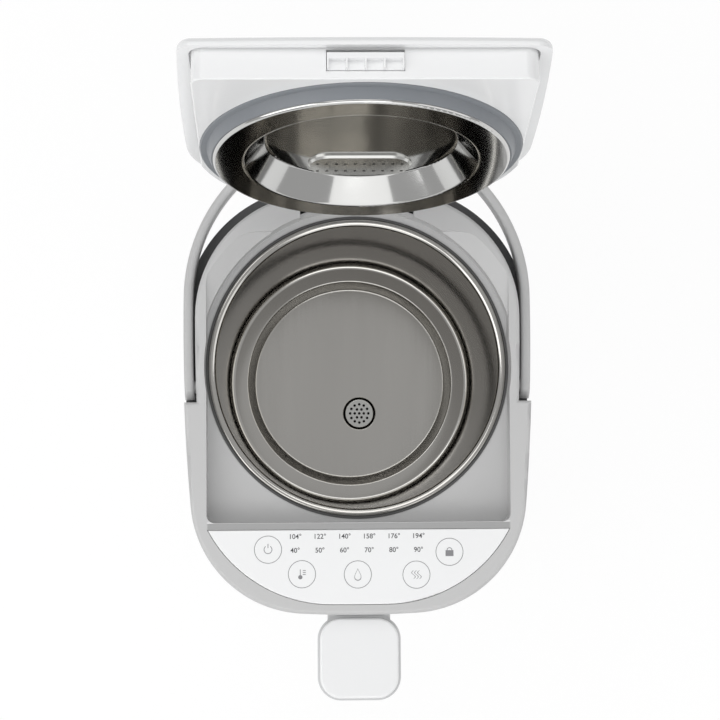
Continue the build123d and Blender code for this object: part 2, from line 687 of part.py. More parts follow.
def inner_pot():
    points = [(POT_RIM_RADIUS, RIM_Z), (POT_RADIUS, RIM_Z), (POT_RADIUS, WALL_LOW_Z), (HEEL_RADIUS, HEEL_Z),
              (LEDGE_RADIUS, HEEL_Z), (STEP_RADIUS + STEP_OUT, STEP_Z), (STEP_RADIUS - STEP_IN, STEP_Z),
              (DISC_RADIUS, POT_FLOOR_Z), (0.01, POT_FLOOR_Z)]
    pot = sheet_turned(points, POT_BENDS, POT_SHEET, Side.LEFT)
    pot += disc(1, POT_UNDER_Z, POT_FLOOR_Z)
    pot -= disc(WELL_RADIUS, 0, BIG, WELL_X, WELL_Y)
    well_floor = POT_FLOOR_Z - WELL_DEPTH
    well = tube(WELL_RADIUS + POT_SHEET, WELL_RADIUS, WELL_UNDER_Z, POT_FLOOR_Z, WELL_X, WELL_Y)
    well += disc(WELL_RADIUS + POT_SHEET, WELL_UNDER_Z, well_floor, WELL_X, WELL_Y)
    well += disc(PIPE_RADIUS + PIPE_WALL, WELL_UNDER_Z - PIPE_LENGTH, WELL_UNDER_Z, WELL_X, WELL_Y)
    return pot + well - disc(PIPE_RADIUS, 0, POT_FLOOR_Z + 1, WELL_X, WELL_Y)


def pot_seal():
    bed = RIM_Z - POT_SHEET - SEAL_THICKNESS
    inner = POT_RIM_RADIUS - SEAL_WIDTH + SEAL_LIP + SEAL_GAP
    outer = POT_RIM_RADIUS + SEAL_LIP + FIT - SEAL_GAP / 2
    lip = POT_RIM_RADIUS + SEAL_GAP
    lip_top = RIM_Z - SEAL_GAP / 2
    return turned((inner, bed), (outer, bed), (outer, lip_top), (lip, lip_top), (lip, RIM_Z - POT_SHEET),
                  (inner, RIM_Z - POT_SHEET))


def pot_strainer():
    top = POT_FLOOR_Z - STRAINER_DROP
    radius = WELL_RADIUS - STRAINER_GAP
    strainer = disc(radius, POT_FLOOR_Z - WELL_DEPTH, top, WELL_X, WELL_Y)
    strainer -= disc(radius - STRAINER_SHEET, 0, top - STRAINER_SHEET, WELL_X, WELL_Y)
    strainer = fillet(strainer.faces().sort_by(Axis.Z)[-1].outer_wire().edges(), STRAINER_SHEET / 2)
    for row, count in enumerate(STRAINER_COUNTS):
        ring = row * STRAINER_PITCH
        for i in range(count):
            angle = 2 * pi * i / count
            strainer -= disc(STRAINER_HOLE, 0, BIG, WELL_X + ring * cos(angle), WELL_Y + ring * sin(angle))
    return strainer


def heater_plate():
    plate = tube(HEATER_OUTER, HEATER_INNER, POT_UNDER_Z - HEATER_THICKNESS, POT_UNDER_Z)
    middle = (HEATER_INNER + HEATER_OUTER) / 2
    under = POT_UNDER_Z - HEATER_THICKNESS
    far = HEATER_GROOVE_OFFSET + HEATER_GROOVE_WIDTH
    plate -= tube(middle + far, middle + HEATER_GROOVE_OFFSET, under - 1, under + HEATER_GROOVE_DEPTH)
    plate -= tube(middle - HEATER_GROOVE_OFFSET, middle - far, under - 1, under + HEATER_GROOVE_DEPTH)
    for x in (-HEATER_PIN_X, HEATER_PIN_X):
        plate += disc(HEATER_PIN_RADIUS, under - HEATER_PIN_LENGTH, POT_UNDER_Z - 1, x, middle)
    return plate


def heat_shield():
    top = HEEL_Z - POT_SHEET
    points = [(SHIELD_FLANGE, top), (SHIELD_RADIUS + 1, top), (SHIELD_RADIUS - 1, top - SHIELD_DEPTH),
              (0.01, top - SHIELD_DEPTH)]
    shield = sheet_turned(points, SHIELD_BENDS, SHIELD_SHEET, Side.LEFT)
    shield += disc(1, top - SHIELD_DEPTH - SHIELD_SHEET, top - SHIELD_DEPTH)
    shield -= disc(SHIELD_HOLE, 0, BIG, WELL_X, WELL_Y)
    for x, y in stud_places():
        shield -= disc(STUD_RADIUS + FIT, 0, BIG, x, y)
    vents = SHIELD_RADIUS - SHIELD_VENT_INSET
    for i in range(SHIELD_VENTS):
        angle = radians(SHIELD_VENT_START + 360 * i / SHIELD_VENTS)
        place = (vents * cos(angle), vents * sin(angle))
        shield -= disc(SHIELD_VENT_RADIUS, 0, top - SHIELD_DEPTH + 1, *place)
    return shield


def stud_places():
    return [(STUD_CIRCLE * cos(radians(a)), STUD_CIRCLE * sin(radians(a))) for a in STUD_ANGLES]


def shield_studs():
    top = HEEL_Z - POT_SHEET
    studs = []
    for x, y in stud_places():
        nut_low = top - SHIELD_SHEET - STUD_NUT_HEIGHT
        nut = Pos(x, y, nut_low) * extrude(RegularPolygon(STUD_NUT_RADIUS, 6), STUD_NUT_HEIGHT)
        studs.append(disc(STUD_RADIUS, top - STUD_LENGTH, top, x, y) + nut)
    return Compound(children=studs)


def thermostat():
    under = POT_UNDER_Z - THERMOSTAT_HEIGHT
    cap_under = POT_UNDER_Z - THERMOSTAT_CAP_HEIGHT
    body = disc(THERMOSTAT_RADIUS, under, POT_UNDER_Z, THERMOSTAT_X, THERMOSTAT_Y)
    body += disc(THERMOSTAT_CAP_RADIUS, cap_under, under + 1, THERMOSTAT_X, THERMOSTAT_Y)
    half_x, half_y = THERMOSTAT_TAB_HALF
    for x in (THERMOSTAT_X - THERMOSTAT_TAB_X, THERMOSTAT_X + THERMOSTAT_TAB_X):
        body += block(x - half_x, x + half_x, THERMOSTAT_Y - half_y, THERMOSTAT_Y + half_y,
                      POT_UNDER_Z - THERMOSTAT_TAB_HEIGHT, cap_under + 1)
    return body


def thermistor():
    under = POT_UNDER_Z - THERMISTOR_HEIGHT
    tail_under = POT_UNDER_Z - THERMISTOR_TAIL_HEIGHT
    body = disc(THERMISTOR_RADIUS, under, POT_UNDER_Z, THERMISTOR_X, THERMISTOR_Y)
    return body + disc(THERMISTOR_TAIL_RADIUS, tail_under, under + 1, THERMISTOR_X, THERMISTOR_Y)


def insulation_sleeve():
    high = FLOOR_Z - FLOOR_THICKNESS - SLEEVE_DROP
    return tube(SLEEVE_INNER + SLEEVE_THICKNESS, SLEEVE_INNER, SLEEVE_LOW_Z, high)


def pump_motor():
    motor = disc(MOTOR_RADIUS, BASE_TOP_Z, MOTOR_TOP_Z, WELL_X, WELL_Y)
    motor = chamfer(motor.edges().group_by(Axis.Z)[0], MOTOR_EDGE)
    return motor - disc(SHAFT_RADIUS + RUNNING, BASE_TOP_Z + MOTOR_FLOOR, BIG, WELL_X, WELL_Y)


def pump_housing():
    body = disc(VOLUTE_RADIUS, MOTOR_TOP_Z, VOLUTE_TOP_Z, WELL_X, WELL_Y)
    body += rod_y(PUMP_OUTLET_RADIUS, WELL_Y, PUMP_OUTLET_Y, PUMP_OUTLET_X, PUMP_OUTLET_Z)
    body -= disc(VOLUTE_CAVITY, MOTOR_TOP_Z + VOLUTE_FLOOR, BIG, WELL_X, WELL_Y)
    body -= disc(SHAFT_RADIUS + RUNNING, 0, BIG, WELL_X, WELL_Y)
    return body - rod_y(PUMP_OUTLET_BORE, WELL_Y, PUMP_OUTLET_Y - 1, PUMP_OUTLET_X, PUMP_OUTLET_Z)


def pump_lid():
    body = disc(VOLUTE_RADIUS, VOLUTE_TOP_Z, PUMP_LID_TOP_Z, WELL_X, WELL_Y)
    body = fillet(body.edges().group_by(Axis.Z)[-1], PUMP_LID_EDGE)
    body += disc(NIPPLE_RADIUS, PUMP_LID_TOP_Z - 1, PUMP_LID_TOP_Z + NIPPLE_LENGTH, WELL_X, WELL_Y)
    return body - disc(NIPPLE_BORE, 0, BIG, WELL_X, WELL_Y)


def impeller():
    low = MOTOR_TOP_Z + VOLUTE_FLOOR + IMPELLER_LIFT
    wheel = disc(IMPELLER_RADIUS, low, low + IMPELLER_DISC) + disc(HUB_RADIUS, low, low + VANE_HEIGHT)
    for i in range(VANE_COUNT):
        vane = block(HUB_RADIUS - 1, IMPELLER_RADIUS - 1, -VANE_HALF_THICKNESS, VANE_HALF_THICKNESS, low,
                     low + VANE_HEIGHT)
        turn = Rot(0, 0, 360 * i / VANE_COUNT)
        wheel += turn * Pos(0, -VANE_OFFSET, 0) * vane & disc(IMPELLER_RADIUS, 0, BIG)
    wheel -= disc(SHAFT_RADIUS + SEATED, 0, low + VANE_HEIGHT - IMPELLER_CAP)
    return Pos(WELL_X, WELL_Y, 0) * wheel


def motor_shaft():
    low = MOTOR_TOP_Z + VOLUTE_FLOOR + IMPELLER_LIFT
    high = low + VANE_HEIGHT - IMPELLER_CAP - RUNNING
    return disc(SHAFT_RADIUS, BASE_TOP_Z + MOTOR_FLOOR + FIT, high, WELL_X, WELL_Y)


def inlet_sleeve():
    low = PUMP_LID_TOP_Z + INLET_SLEEVE_GAP
    high = WELL_UNDER_Z - INLET_SLEEVE_GAP
    return tube(NIPPLE_RADIUS + INLET_SLEEVE_WALL, NIPPLE_RADIUS + SEATED, low, high, WELL_X, WELL_Y)


def hose(points, bends, radius, bore):
    """Moulded hose along straight runs joined by arcs, with its bore."""
    path = FilletPolyline(*points, radius=bends)
    start = Plane(origin=path @ 0, z_dir=path % 0)
    return sweep(start * Circle(radius), path=path) - sweep(start * Circle(bore), path=path)


def outlet_hose():
    low = PUMP_OUTLET_Z
    start_y = PUMP_OUTLET_Y + CUFF_LENGTH
    points = [(PUMP_OUTLET_X, start_y, low), (PUMP_OUTLET_X, PUMP_OUTLET_Y - HOSE_RUN, low),
              (0, SIGHT_Y + HOSE_TURN, low), (0, SIGHT_Y, low), (0, SIGHT_Y, SIGHT_LOW_Z + CUFF_LENGTH)]
    body = hose(points, [HOSE_SWEEP, HOSE_SWEEP, HOSE_BEND], HOSE_RADIUS, PUMP_OUTLET_BORE)
    body -= rod_y(PUMP_OUTLET_RADIUS + SEATED, PUMP_OUTLET_Y, start_y + 1, PUMP_OUTLET_X, low)
    return body - disc(SIGHT_RADIUS + SEATED, SIGHT_LOW_Z, BIG, 0, SIGHT_Y)


def sight_tube():
    return tube(SIGHT_RADIUS, SIGHT_BORE, SIGHT_LOW_Z, SIGHT_HIGH_Z, 0, SIGHT_Y)


def spout_hose():
    nozzle_top = SPOUT_LOW_Z + NOZZLE_DROP
    points = [(0, SIGHT_Y, SIGHT_HIGH_Z), (0, SIGHT_Y, SPOUT_HOSE_Z), (0, SPOUT_Y, SPOUT_HOSE_Z),
              (0, SPOUT_Y, nozzle_top)]
    body = hose(points, [SPOUT_HOSE_BEND, SPOUT_HOSE_BEND], SPOUT_HOSE_RADIUS, SIGHT_BORE)
    outer = SIGHT_RADIUS + CUFF_WALL
    cuff = tube(outer, SIGHT_RADIUS + SEATED, SIGHT_HIGH_Z - CUFF_LENGTH, SIGHT_HIGH_Z, 0, SIGHT_Y)
    cuff += tube(outer, SIGHT_BORE, SIGHT_HIGH_Z, SIGHT_HIGH_Z + CUFF_WALL, 0, SIGHT_Y)
    return body + cuff


def water_window():
    glass = case_plan(0.1) - case_plan(CASE_WALL + SEATED)
    pane = prism(glass & strip_x(WINDOW_HALF_WIDTH - FIT), WINDOW_LOW_Z + FIT, WINDOW_HIGH_Z - FIT)
    back = case_plan(CASE_WALL + SEATED) - case_plan(CASE_WALL + WINDOW_FLANGE_THICKNESS)
    flange = strip_x(WINDOW_HALF_WIDTH + WINDOW_FLANGE)
    return pane + prism(back & flange, WINDOW_LOW_Z - WINDOW_FLANGE, WINDOW_HIGH_Z + WINDOW_FLANGE)


def strip_x(half_width):
    return Pos(0, -BIG / 2) * Rectangle(2 * half_width, BIG)


def spout_plan(margin):
    length = SPOUT_COVER_LENGTH + 2 * margin
    return Pos(0, SPOUT_Y) * RectangleRounded(SPOUT_COVER_WIDTH + 2 * margin, length, SPOUT_CORNER + margin)


def tapered(outline, high, low):
    return extrude(Pos(0, 0, high) * outline, high - low, dir=(0, 0, -1), taper=SPOUT_TAPER)


def spout_body():
    neck_rear = SPOUT_NECK_DEPTH - CASE_FRONT
    neck_low = SPOUT_LOW_Z + SPOUT_NECK_RISE
    neck_high = SPOUT_BODY_TOP_Z - SPOUT_NECK_DROP
    body = tapered(spout_plan(SPOUT_MARGIN), SPOUT_BODY_TOP_Z, SPOUT_LOW_Z)
    neck = block(-SPOUT_NECK_HALF_WIDTH, SPOUT_NECK_HALF_WIDTH, SPOUT_Y, neck_rear, neck_low, neck_high)
    body += neck - prism(case_plan(), 0, BIG)
    body = body - tapered(spout_plan(SPOUT_MARGIN - SPOUT_WALL), SPOUT_BODY_TOP_Z + SEATED,
                          SPOUT_LOW_Z + SPOUT_WALL)
    body -= disc(NOZZLE_RADIUS + SEATED, 0, SPOUT_LOW_Z + 2 * SPOUT_WALL, 0, SPOUT_Y)
    return body - rod_y(SPOUT_HOSE_RADIUS + HOSE_CLEARANCE, neck_rear + 1, SPOUT_Y, 0, SPOUT_HOSE_Z)


def spout_cover():
    cap = prism(spout_plan(0), SPOUT_BODY_TOP_Z, SPOUT_TOP_Z)
    cap = fillet(cap.faces().sort_by(Axis.Z)[-1].outer_wire().edges(), SPOUT_COVER_EDGE)
    lip = spout_plan(SPOUT_MARGIN - SPOUT_WALL - SPOUT_LIP_GAP) - spout_plan(SPOUT_MARGIN - 2 * SPOUT_WALL)
    return cap + prism(lip, SPOUT_BODY_TOP_Z - SPOUT_LIP, SPOUT_BODY_TOP_Z)


def outlet_nozzle():
    floor = SPOUT_LOW_Z + SPOUT_WALL
    body = disc(NOZZLE_RADIUS, SPOUT_LOW_Z - NOZZLE_DROP, SPOUT_LOW_Z + NOZZLE_DROP, 0, SPOUT_Y)
    body = fillet(body.edges().group_by(Axis.Z)[0], NOZZLE_EDGE)
    body += disc(NOZZLE_FLANGE, floor, floor + NOZZLE_FLANGE_HEIGHT, 0, SPOUT_Y)
    return body - disc(NOZZLE_BORE, 0, BIG, 0, SPOUT_Y)


def power_board():
    low = BASE_TOP_Z + POWER_BOARD_RISE
    width = POWER_BOARD_HALF_WIDTH
    board = block(-width, width, POWER_BOARD_LOW_Y, POWER_BOARD_HIGH_Y, low, low + BOARD_THICKNESS)
    relay_y = POWER_BOARD_HIGH_Y - RELAY_INSET
    board += disc(CAPACITOR_RADIUS, low + 1, low + CAPACITOR_HEIGHT, CAPACITOR_X,
                  POWER_BOARD_LOW_Y + CAPACITOR_INSET)
    board += block(RELAY_LOW_X, RELAY_HIGH_X, relay_y - RELAY_LENGTH, relay_y, low + 1, low + RELAY_HEIGHT)
    for x, y in power_board_corners():
        board -= disc(BOARD_SCREW_RADIUS + FIT, 0, BIG, x, y)
    return board


def power_board_corners():
    inner_x = POWER_BOARD_HALF_WIDTH - BOARD_CORNER
    rows = (POWER_BOARD_LOW_Y + BOARD_CORNER, POWER_BOARD_HIGH_Y - BOARD_CORNER)
    return [(sx * inner_x, y) for sx in (1, -1) for y in rows]


def power_board_screws():
    top = BASE_TOP_Z + POWER_BOARD_RISE + BOARD_THICKNESS
    screws = []
    for x, y in power_board_corners():
        head = disc(BOARD_SCREW_HEAD_RADIUS, top, top + BOARD_SCREW_HEAD_HEIGHT, x, y)
        screws.append(head + disc(BOARD_SCREW_RADIUS, top - POWER_SCREW_LENGTH, top + 1, x, y))
    return Compound(children=screws)


def transformer():
    low = BASE_TOP_Z + POWER_BOARD_RISE + BOARD_THICKNESS
    front = POWER_BOARD_LOW_Y + CORE_FRONT_INSET
    rear = POWER_BOARD_HIGH_Y - CORE_REAR_INSET
    core = block(CORE_LOW_X, CORE_HIGH_X, front, rear, low, low + CORE_HEIGHT)
    core = chamfer(core.edges().filter_by(Axis.Z), CORE_EDGE)
    return core + block(CORE_LOW_X + COIL_INSET, CORE_HIGH_X - COIL_INSET, front - COIL_INSET,
                        rear + COIL_INSET, low + COIL_LIFT, low + CORE_HEIGHT - COIL_LIFT)


def power_inlet():
    width = INLET_HALF_WIDTH
    high = INLET_LOW_Z + INLET_HEIGHT
    middle = INLET_LOW_Z + INLET_HEIGHT / 2
    inner = CASE_REAR - CASE_WALL - CASE_WALL / 2
    outer_x = width + INLET_FLANGE
    body = block(-width, width, CASE_REAR - INLET_DEPTH, CASE_REAR + 1, INLET_LOW_Z, high)
    flange = block(-outer_x, outer_x, inner - INLET_FLANGE_THICKNESS, CASE_REAR, INLET_LOW_Z - INLET_FLANGE,
                   high + INLET_FLANGE)
    body = (body & prism(case_plan(), 0, BIG)) + (flange & prism(case_plan(CASE_WALL + SEATED), 0, BIG))
    return body - block(-SOCKET_HALF_WIDTH, SOCKET_HALF_WIDTH, CASE_REAR - SOCKET_DEPTH, BIG,
                        middle - SOCKET_HALF_HEIGHT, middle + SOCKET_HALF_HEIGHT)


def inlet_pins():
    middle = INLET_LOW_Z + INLET_HEIGHT / 2
    floor = CASE_REAR - SOCKET_DEPTH
    pins = [rod_y(PIN_RADIUS, floor, CASE_REAR - PIN_DROP, sx * PIN_SPACING / 2, middle) for sx in (1, -1)]
    return Compound(children=pins)


def base_plate():
    plate = prism(case_plan(CASE_WALL + FIT), FOOT_HEIGHT, BASE_TOP_Z)
    for x, y in BOSS_PLACES:
        plate -= disc(SCREW_RADIUS + FIT, 0, BIG, x, y)
    for x, y in power_board_corners():
        plate += disc(BOARD_POST_RADIUS, BASE_TOP_Z - 1, BASE_TOP_Z + POWER_BOARD_RISE, x, y)
        plate -= disc(BOARD_SCREW_RADIUS + SEATED, BASE_TOP_Z + 2, BIG, x, y)
    ring = MOTOR_RADIUS + FIT
    plate += tube(ring + MOTOR_COLLAR_WALL, ring, BASE_TOP_Z - 1, BASE_TOP_Z + MOTOR_FLOOR, WELL_X, WELL_Y)
    for x, y in FOOT_PLACES:
        plate -= disc(FOOT_STEM_RADIUS, 0, BIG, x, y)
    return plate


def base_feet():
    feet = []
    for x, y in FOOT_PLACES:
        foot = disc(FOOT_RADIUS, 0, FOOT_HEIGHT, x, y)
        foot = fillet(foot.edges().group_by(Axis.Z)[0], FOOT_EDGE)
        feet.append(foot + disc(FOOT_STEM_RADIUS - SEATED, FOOT_HEIGHT - 1, BASE_TOP_Z - FIT, x, y))
    return Compound(children=feet)


def base_screws():
    screws = []
    for x, y in BOSS_PLACES:
        shank = disc(SCREW_RADIUS, FOOT_HEIGHT - 1, BASE_TOP_Z + BOSS_HEIGHT - SCREW_TIP_GAP, x, y)
        screws.append(disc(SCREW_HEAD_RADIUS, FOOT_HEIGHT - SCREW_HEAD_HEIGHT, FOOT_HEIGHT, x, y) + shank)
    return Compound(children=screws)


def handle():
    arms = (case_plan() - case_plan(HANDLE_THICKNESS)) & half_plane(CHANNEL_FRONT, HANDLE_ARC_Y)
    radius = CASE_HALF_WIDTH - (HANDLE_ARC_Y - WIDEST_Y) ** 2 / (2 * SIDE_RADIUS)
    arc = Pos(0, HANDLE_ARC_Y) * (Circle(radius) - Circle(radius - HANDLE_THICKNESS))
    arc &= half_plane(HANDLE_ARC_Y, BIG)
    bail = prism(arms + arc, HANDLE_LOW_Z, HANDLE_LOW_Z + HANDLE_HEIGHT)
    round_end = rod_x(HANDLE_HEIGHT / 2, -BIG, BIG, PIVOT_Y, PIVOT_Z)
    bail &= round_end + block(-BIG, BIG, PIVOT_Y, BIG, 0, BIG)
    long_edges = bail.edges().filter_by_position(Axis.Y, PIVOT_Y + 1, BIG)
    bail = fillet(long_edges.filter_by(lambda e: abs(e.tangent_at(0.5).Z) < 0.1), HANDLE_EDGE)
    inner = CASE_HALF_WIDTH - HANDLE_THICKNESS - 2
    bore = rod_x(PIVOT_RADIUS + RUNNING, inner, CASE_HALF_WIDTH + 2, PIVOT_Y, PIVOT_Z)
    head_low = pivot_face() - PIVOT_HEAD_DEPTH - FIT
    bore += rod_x(PIVOT_HEAD_RADIUS + FIT, head_low, CASE_HALF_WIDTH + 2, PIVOT_Y, PIVOT_Z)
    return bail - both_sides(bore)


def pivot_face():
    return CASE_HALF_WIDTH - (WIDEST_Y - PIVOT_Y) ** 2 / (2 * SIDE_RADIUS)


def handle_pivots():
    inner = CASE_HALF_WIDTH - COLLAR_INSET - PIVOT_GRIP
    head = rod_x(PIVOT_HEAD_RADIUS, pivot_face() - PIVOT_HEAD_DEPTH, pivot_face() - 0.2, PIVOT_Y, PIVOT_Z)
    pivot = head + rod_x(PIVOT_RADIUS, inner + SEATED, pivot_face() - 1, PIVOT_Y, PIVOT_Z)
    return Compound(children=[pivot, mirror(pivot, about=Plane.YZ)])


def hinge_pin():
    return rod_x(HINGE_PIN_RADIUS, -EAR_END - HINGE_PIN_END, EAR_END + HINGE_PIN_END, HINGE_Y, HINGE_Z)


def opened(shape):
    """Turn a piece of the closed lid to where it stands open."""
    hinge = Axis((0, HINGE_Y, HINGE_Z), (-1, 0, 0))
    return shape.rotate(hinge, LID_OPEN)


def lid_plan():
    return four_arcs(LID_HALF_WIDTH, LID_FRONT, LID_REAR, LID_SIDE_RADIUS, LID_FRONT_RADIUS, REAR_RADIUS,
                     LID_WIDEST_Y, LID_FRONT_CORNER, LID_REAR_CORNER)


def vent_slot(grow):
    length = 2 * (VENT_HALF_LENGTH + grow)
    return Pos(0, VENT_Y) * SlotOverall(length, VENT_WIDTH + 2 * grow)


def grille_slot(grow):
    length = 2 * (GRILLE_HALF_LENGTH + grow)
    return Pos(0, VENT_Y) * SlotOverall(length, GRILLE_WIDTH + 2 * grow)


def lid_cover():
    low = RIM_Z + LID_LOW
    high = RIM_Z + LID_TOP
    body = prism(lid_plan(), low, high)
    body = fillet(body.faces().sort_by(Axis.Z)[-1].outer_wire().edges(), LID_EDGE)
    body -= prism(frame_plan(-LID_GAP), low - 1, high - LID_SKIN)
    body -= prism(grille_slot(0), low, BIG)
    button = block(-BUTTON_HALF_WIDTH - FIT, BUTTON_HALF_WIDTH + FIT, BUTTON_FRONT - FIT, BUTTON_REAR + FIT,
                   low, BIG)
    body -= button
    anchor = block(-TONGUE_HALF_WIDTH, TONGUE_HALF_WIDTH, ANCHOR_FRONT, ANCHOR_FRONT + ANCHOR_THICKNESS,
                   RIM_Z + TONGUE_LOW, high - LID_SKIN + 0.5)
    return body + anchor


def frame_plan(inset=0.0):
    return bowed_rect(FRAME_HALF_WIDTH, FRAME_FRONT, FRAME_REAR_RADIUS, FRAME_CORNER - inset, -inset)


def lid_frame():
    skin_low = RIM_Z + LID_TOP - LID_SKIN
    body = prism(frame_plan(), RIM_Z + FRAME_LOW, skin_low)
    body = chamfer(body.faces().sort_by(Axis.Z)[0].outer_wire().edges(), 0.6)
    body -= prism(frame_plan(FRAME_WALL), RIM_Z + FRAME_PLATE_HIGH, BIG)
    body -= disc(GASKET_RADIUS + FIT / 2, 0, RIM_Z + FRAME_PLATE_LOW)
    body -= disc(FRAME_HOLE, 0, BIG) & block(-BIG, BIG, -BIG, BIG, 0, RIM_Z + FRAME_PLATE_HIGH + 1)
    opening = LATCH_HALF_WIDTH + FIT
    body -= block(-opening, opening, -BIG, -FRAME_FRONT + 6, RIM_Z + FRAME_PLATE_HIGH,
                  RIM_Z + LID_LOW - 2 * FIT)
    length = BARREL_HALF_LENGTH
    barrel = rod_x(BARREL_RADIUS, -length, length, HINGE_Y, HINGE_Z)
    web = block(-length, length, FRAME_REAR_RADIUS - WEB_DEPTH, HINGE_Y, HINGE_Z - WEB_DROP,
                RIM_Z + LID_LOW - FIT)
    body += barrel + (web - disc(FRAME_REAR_RADIUS - FRAME_WALL / 2, 0, BIG))
    return body - rod_x(HINGE_PIN_RADIUS + RUNNING, -BIG, BIG, HINGE_Y, HINGE_Z)


def lid_gasket():
    plate = RIM_Z + FRAME_PLATE_LOW
    low = RIM_Z + GASKET_LOW
    tip = RIM_Z + GASKET_TIP
    inner = PAN_RADIUS + GASKET_STRETCH
    outer = PAN_FLANGE + GASKET_STRETCH
    under_flange = plate - PAN_SHEET - GASKET_STRETCH
    return turned((GASKET_RADIUS, plate), (GASKET_RADIUS, low + GASKET_EDGE),
                  (GASKET_RADIUS - GASKET_EDGE, low), (POT_RADIUS - GASKET_EDGE, low),
                  (inner + GASKET_TIP_WIDTH, tip), (inner, tip),
                  (inner, under_flange - 1), (inner + 1, under_flange), (outer, under_flange), (outer, plate))


def inner_lid():
    top = RIM_Z + FRAME_PLATE_LOW - PAN_SHEET
    points = [(PAN_FLANGE, top), (PAN_RADIUS, top), (PAN_RADIUS, RIM_Z + PAN_LOW),
              (CUP_MOUTH, RIM_Z + PAN_LOW), (CUP_RADIUS, RIM_Z + CUP_TOP), (0.01, RIM_Z + CUP_TOP)]
    pan = sheet_turned(points, PAN_BENDS, PAN_SHEET, Side.RIGHT)
    pan += disc(1, RIM_Z + CUP_TOP, RIM_Z + CUP_TOP + PAN_SHEET)
    return pan - prism(vent_slot(-VENT_BEAD), 0, BIG)


def vent_strainer():
    """Perforated cap that stands proud of the pan, with a skirt through the pan's opening."""
    face = RIM_Z + CUP_TOP
    plate = prism(vent_slot(0), face - VENT_PROUD, face)
    plate = chamfer(plate.faces().sort_by(Axis.Z)[0].outer_wire().edges(), VENT_EDGE)
    skirt = -VENT_BEAD - SEATED
    plate += prism(vent_slot(skirt), face - VENT_SHEET, face + PAN_SHEET + VENT_PROUD)
    plate -= prism(vent_slot(skirt - VENT_SHEET), face - VENT_PROUD + VENT_SHEET, BIG)
    for y in VENT_ROWS:
        for i in range(VENT_HOLES):
            plate -= disc(VENT_HOLE_RADIUS, 0, BIG, (i - (VENT_HOLES - 1) / 2) * VENT_HOLE_PITCH, y)
    return plate


def steam_duct():
    low = RIM_Z + CUP_TOP + PAN_SHEET
    return prism(vent_slot(0) - vent_slot(-DUCT_WALL), low, RIM_Z + LID_TOP - LID_SKIN)


def steam_grille():
    high = RIM_Z + LID_TOP
    low = high - LID_SKIN
    plate = prism(grille_slot(-GRILLE_GAP), low, high - GRILLE_DROP)
    plate += prism(grille_slot(GRILLE_FLANGE), low - GRILLE_FLANGE, low)
    for i in range(GRILLE_SLOTS):
        x = (i - (GRILLE_SLOTS - 1) / 2) * GRILLE_PITCH
        slot = Pos(x, VENT_Y) * Rot(0, 0, 90) * SlotOverall(GRILLE_WIDTH - GRILLE_BORDER, GRILLE_SLOT_WIDTH)
        plate -= prism(slot, 0, BIG)
    return plate


def latch_bar():
    front = -FRAME_FRONT - LATCH_PROUD
    low = RIM_Z + LATCH_LOW
    high = RIM_Z + LATCH_HIGH
    bar = block(-LATCH_HALF_WIDTH, LATCH_HALF_WIDTH, front, front + LATCH_DEPTH, low, high)
    bar = fillet(bar.edges().filter_by(Axis.X).group_by(Axis.Y)[0].sort_by(Axis.Z)[-1], LATCH_EDGE)
    pitch = (2 * LATCH_HALF_WIDTH - LATCH_RIB) / LATCH_POCKETS
    for i in range(LATCH_POCKETS):
        x = -LATCH_HALF_WIDTH + LATCH_RIB + i * pitch
        bar -= block(x, x + pitch - LATCH_RIB, front - 1, front + LATCH_POCKET_DEPTH, low - 1,
                     low + LATCH_POCKET_HEIGHT)
    foot = RIM_Z + TONGUE_FLOOR
    top = RIM_Z + TONGUE_HIGH
    wedge = Polyline((0, TONGUE_RAMP, foot), (0, TONGUE_RAMP + top - foot, top), (0, TONGUE_END, top),
                     (0, TONGUE_END, foot), close=True)
    width = TONGUE_HALF_WIDTH
    bar += extrude(make_face(wedge), width, both=True)
    return bar + block(-width, width, front + LATCH_DEPTH - 1, TONGUE_END, RIM_Z + TONGUE_LOW, foot)


def latch_spring():
    middle = RIM_Z + (TONGUE_LOW + TONGUE_HIGH) / 2
    length = ANCHOR_FRONT - TONGUE_END - SPRING_WIRE - 2 * SEATED
    path = Helix(pitch=length / SPRING_TURNS, height=length, radius=SPRING_RADIUS)
    section = Plane(origin=path @ 0, z_dir=path % 0) * RegularPolygon(SPRING_WIRE / 2, 6)
    coil = sweep(section, path=path, is_frenet=True)
    return Pos(0, TONGUE_END + SPRING_WIRE / 2 + SEATED, middle) * Rot(-90, 0, 0) * coil


def release_button():
    high = RIM_Z + LID_TOP - BUTTON_DROP
    low = high - BUTTON_THICKNESS
    cap = block(-BUTTON_HALF_WIDTH, BUTTON_HALF_WIDTH, BUTTON_FRONT, BUTTON_REAR, low, high)
    cap = fillet(cap.edges().filter_by(Axis.Z), BUTTON_CORNER)
    cap = fillet(cap.faces().sort_by(Axis.Z)[-1].outer_wire().edges(), BUTTON_EDGE)
    low = RIM_Z + TONGUE_FLOOR + LATCH_TRAVEL + BUTTON_REST
    ramp_y = TONGUE_RAMP + low - RIM_Z - TONGUE_FLOOR - RAMP_GAP
    stem_outline = Polyline((0, STEM_FRONT, high - 1), (0, STEM_FRONT, low), (0, ramp_y, low),
                            (0, STEM_REAR, low + STEM_REAR - ramp_y), (0, STEM_REAR, high - 1), close=True)
    return cap + extrude(make_face(stem_outline), STEM_HALF_WIDTH, both=True)


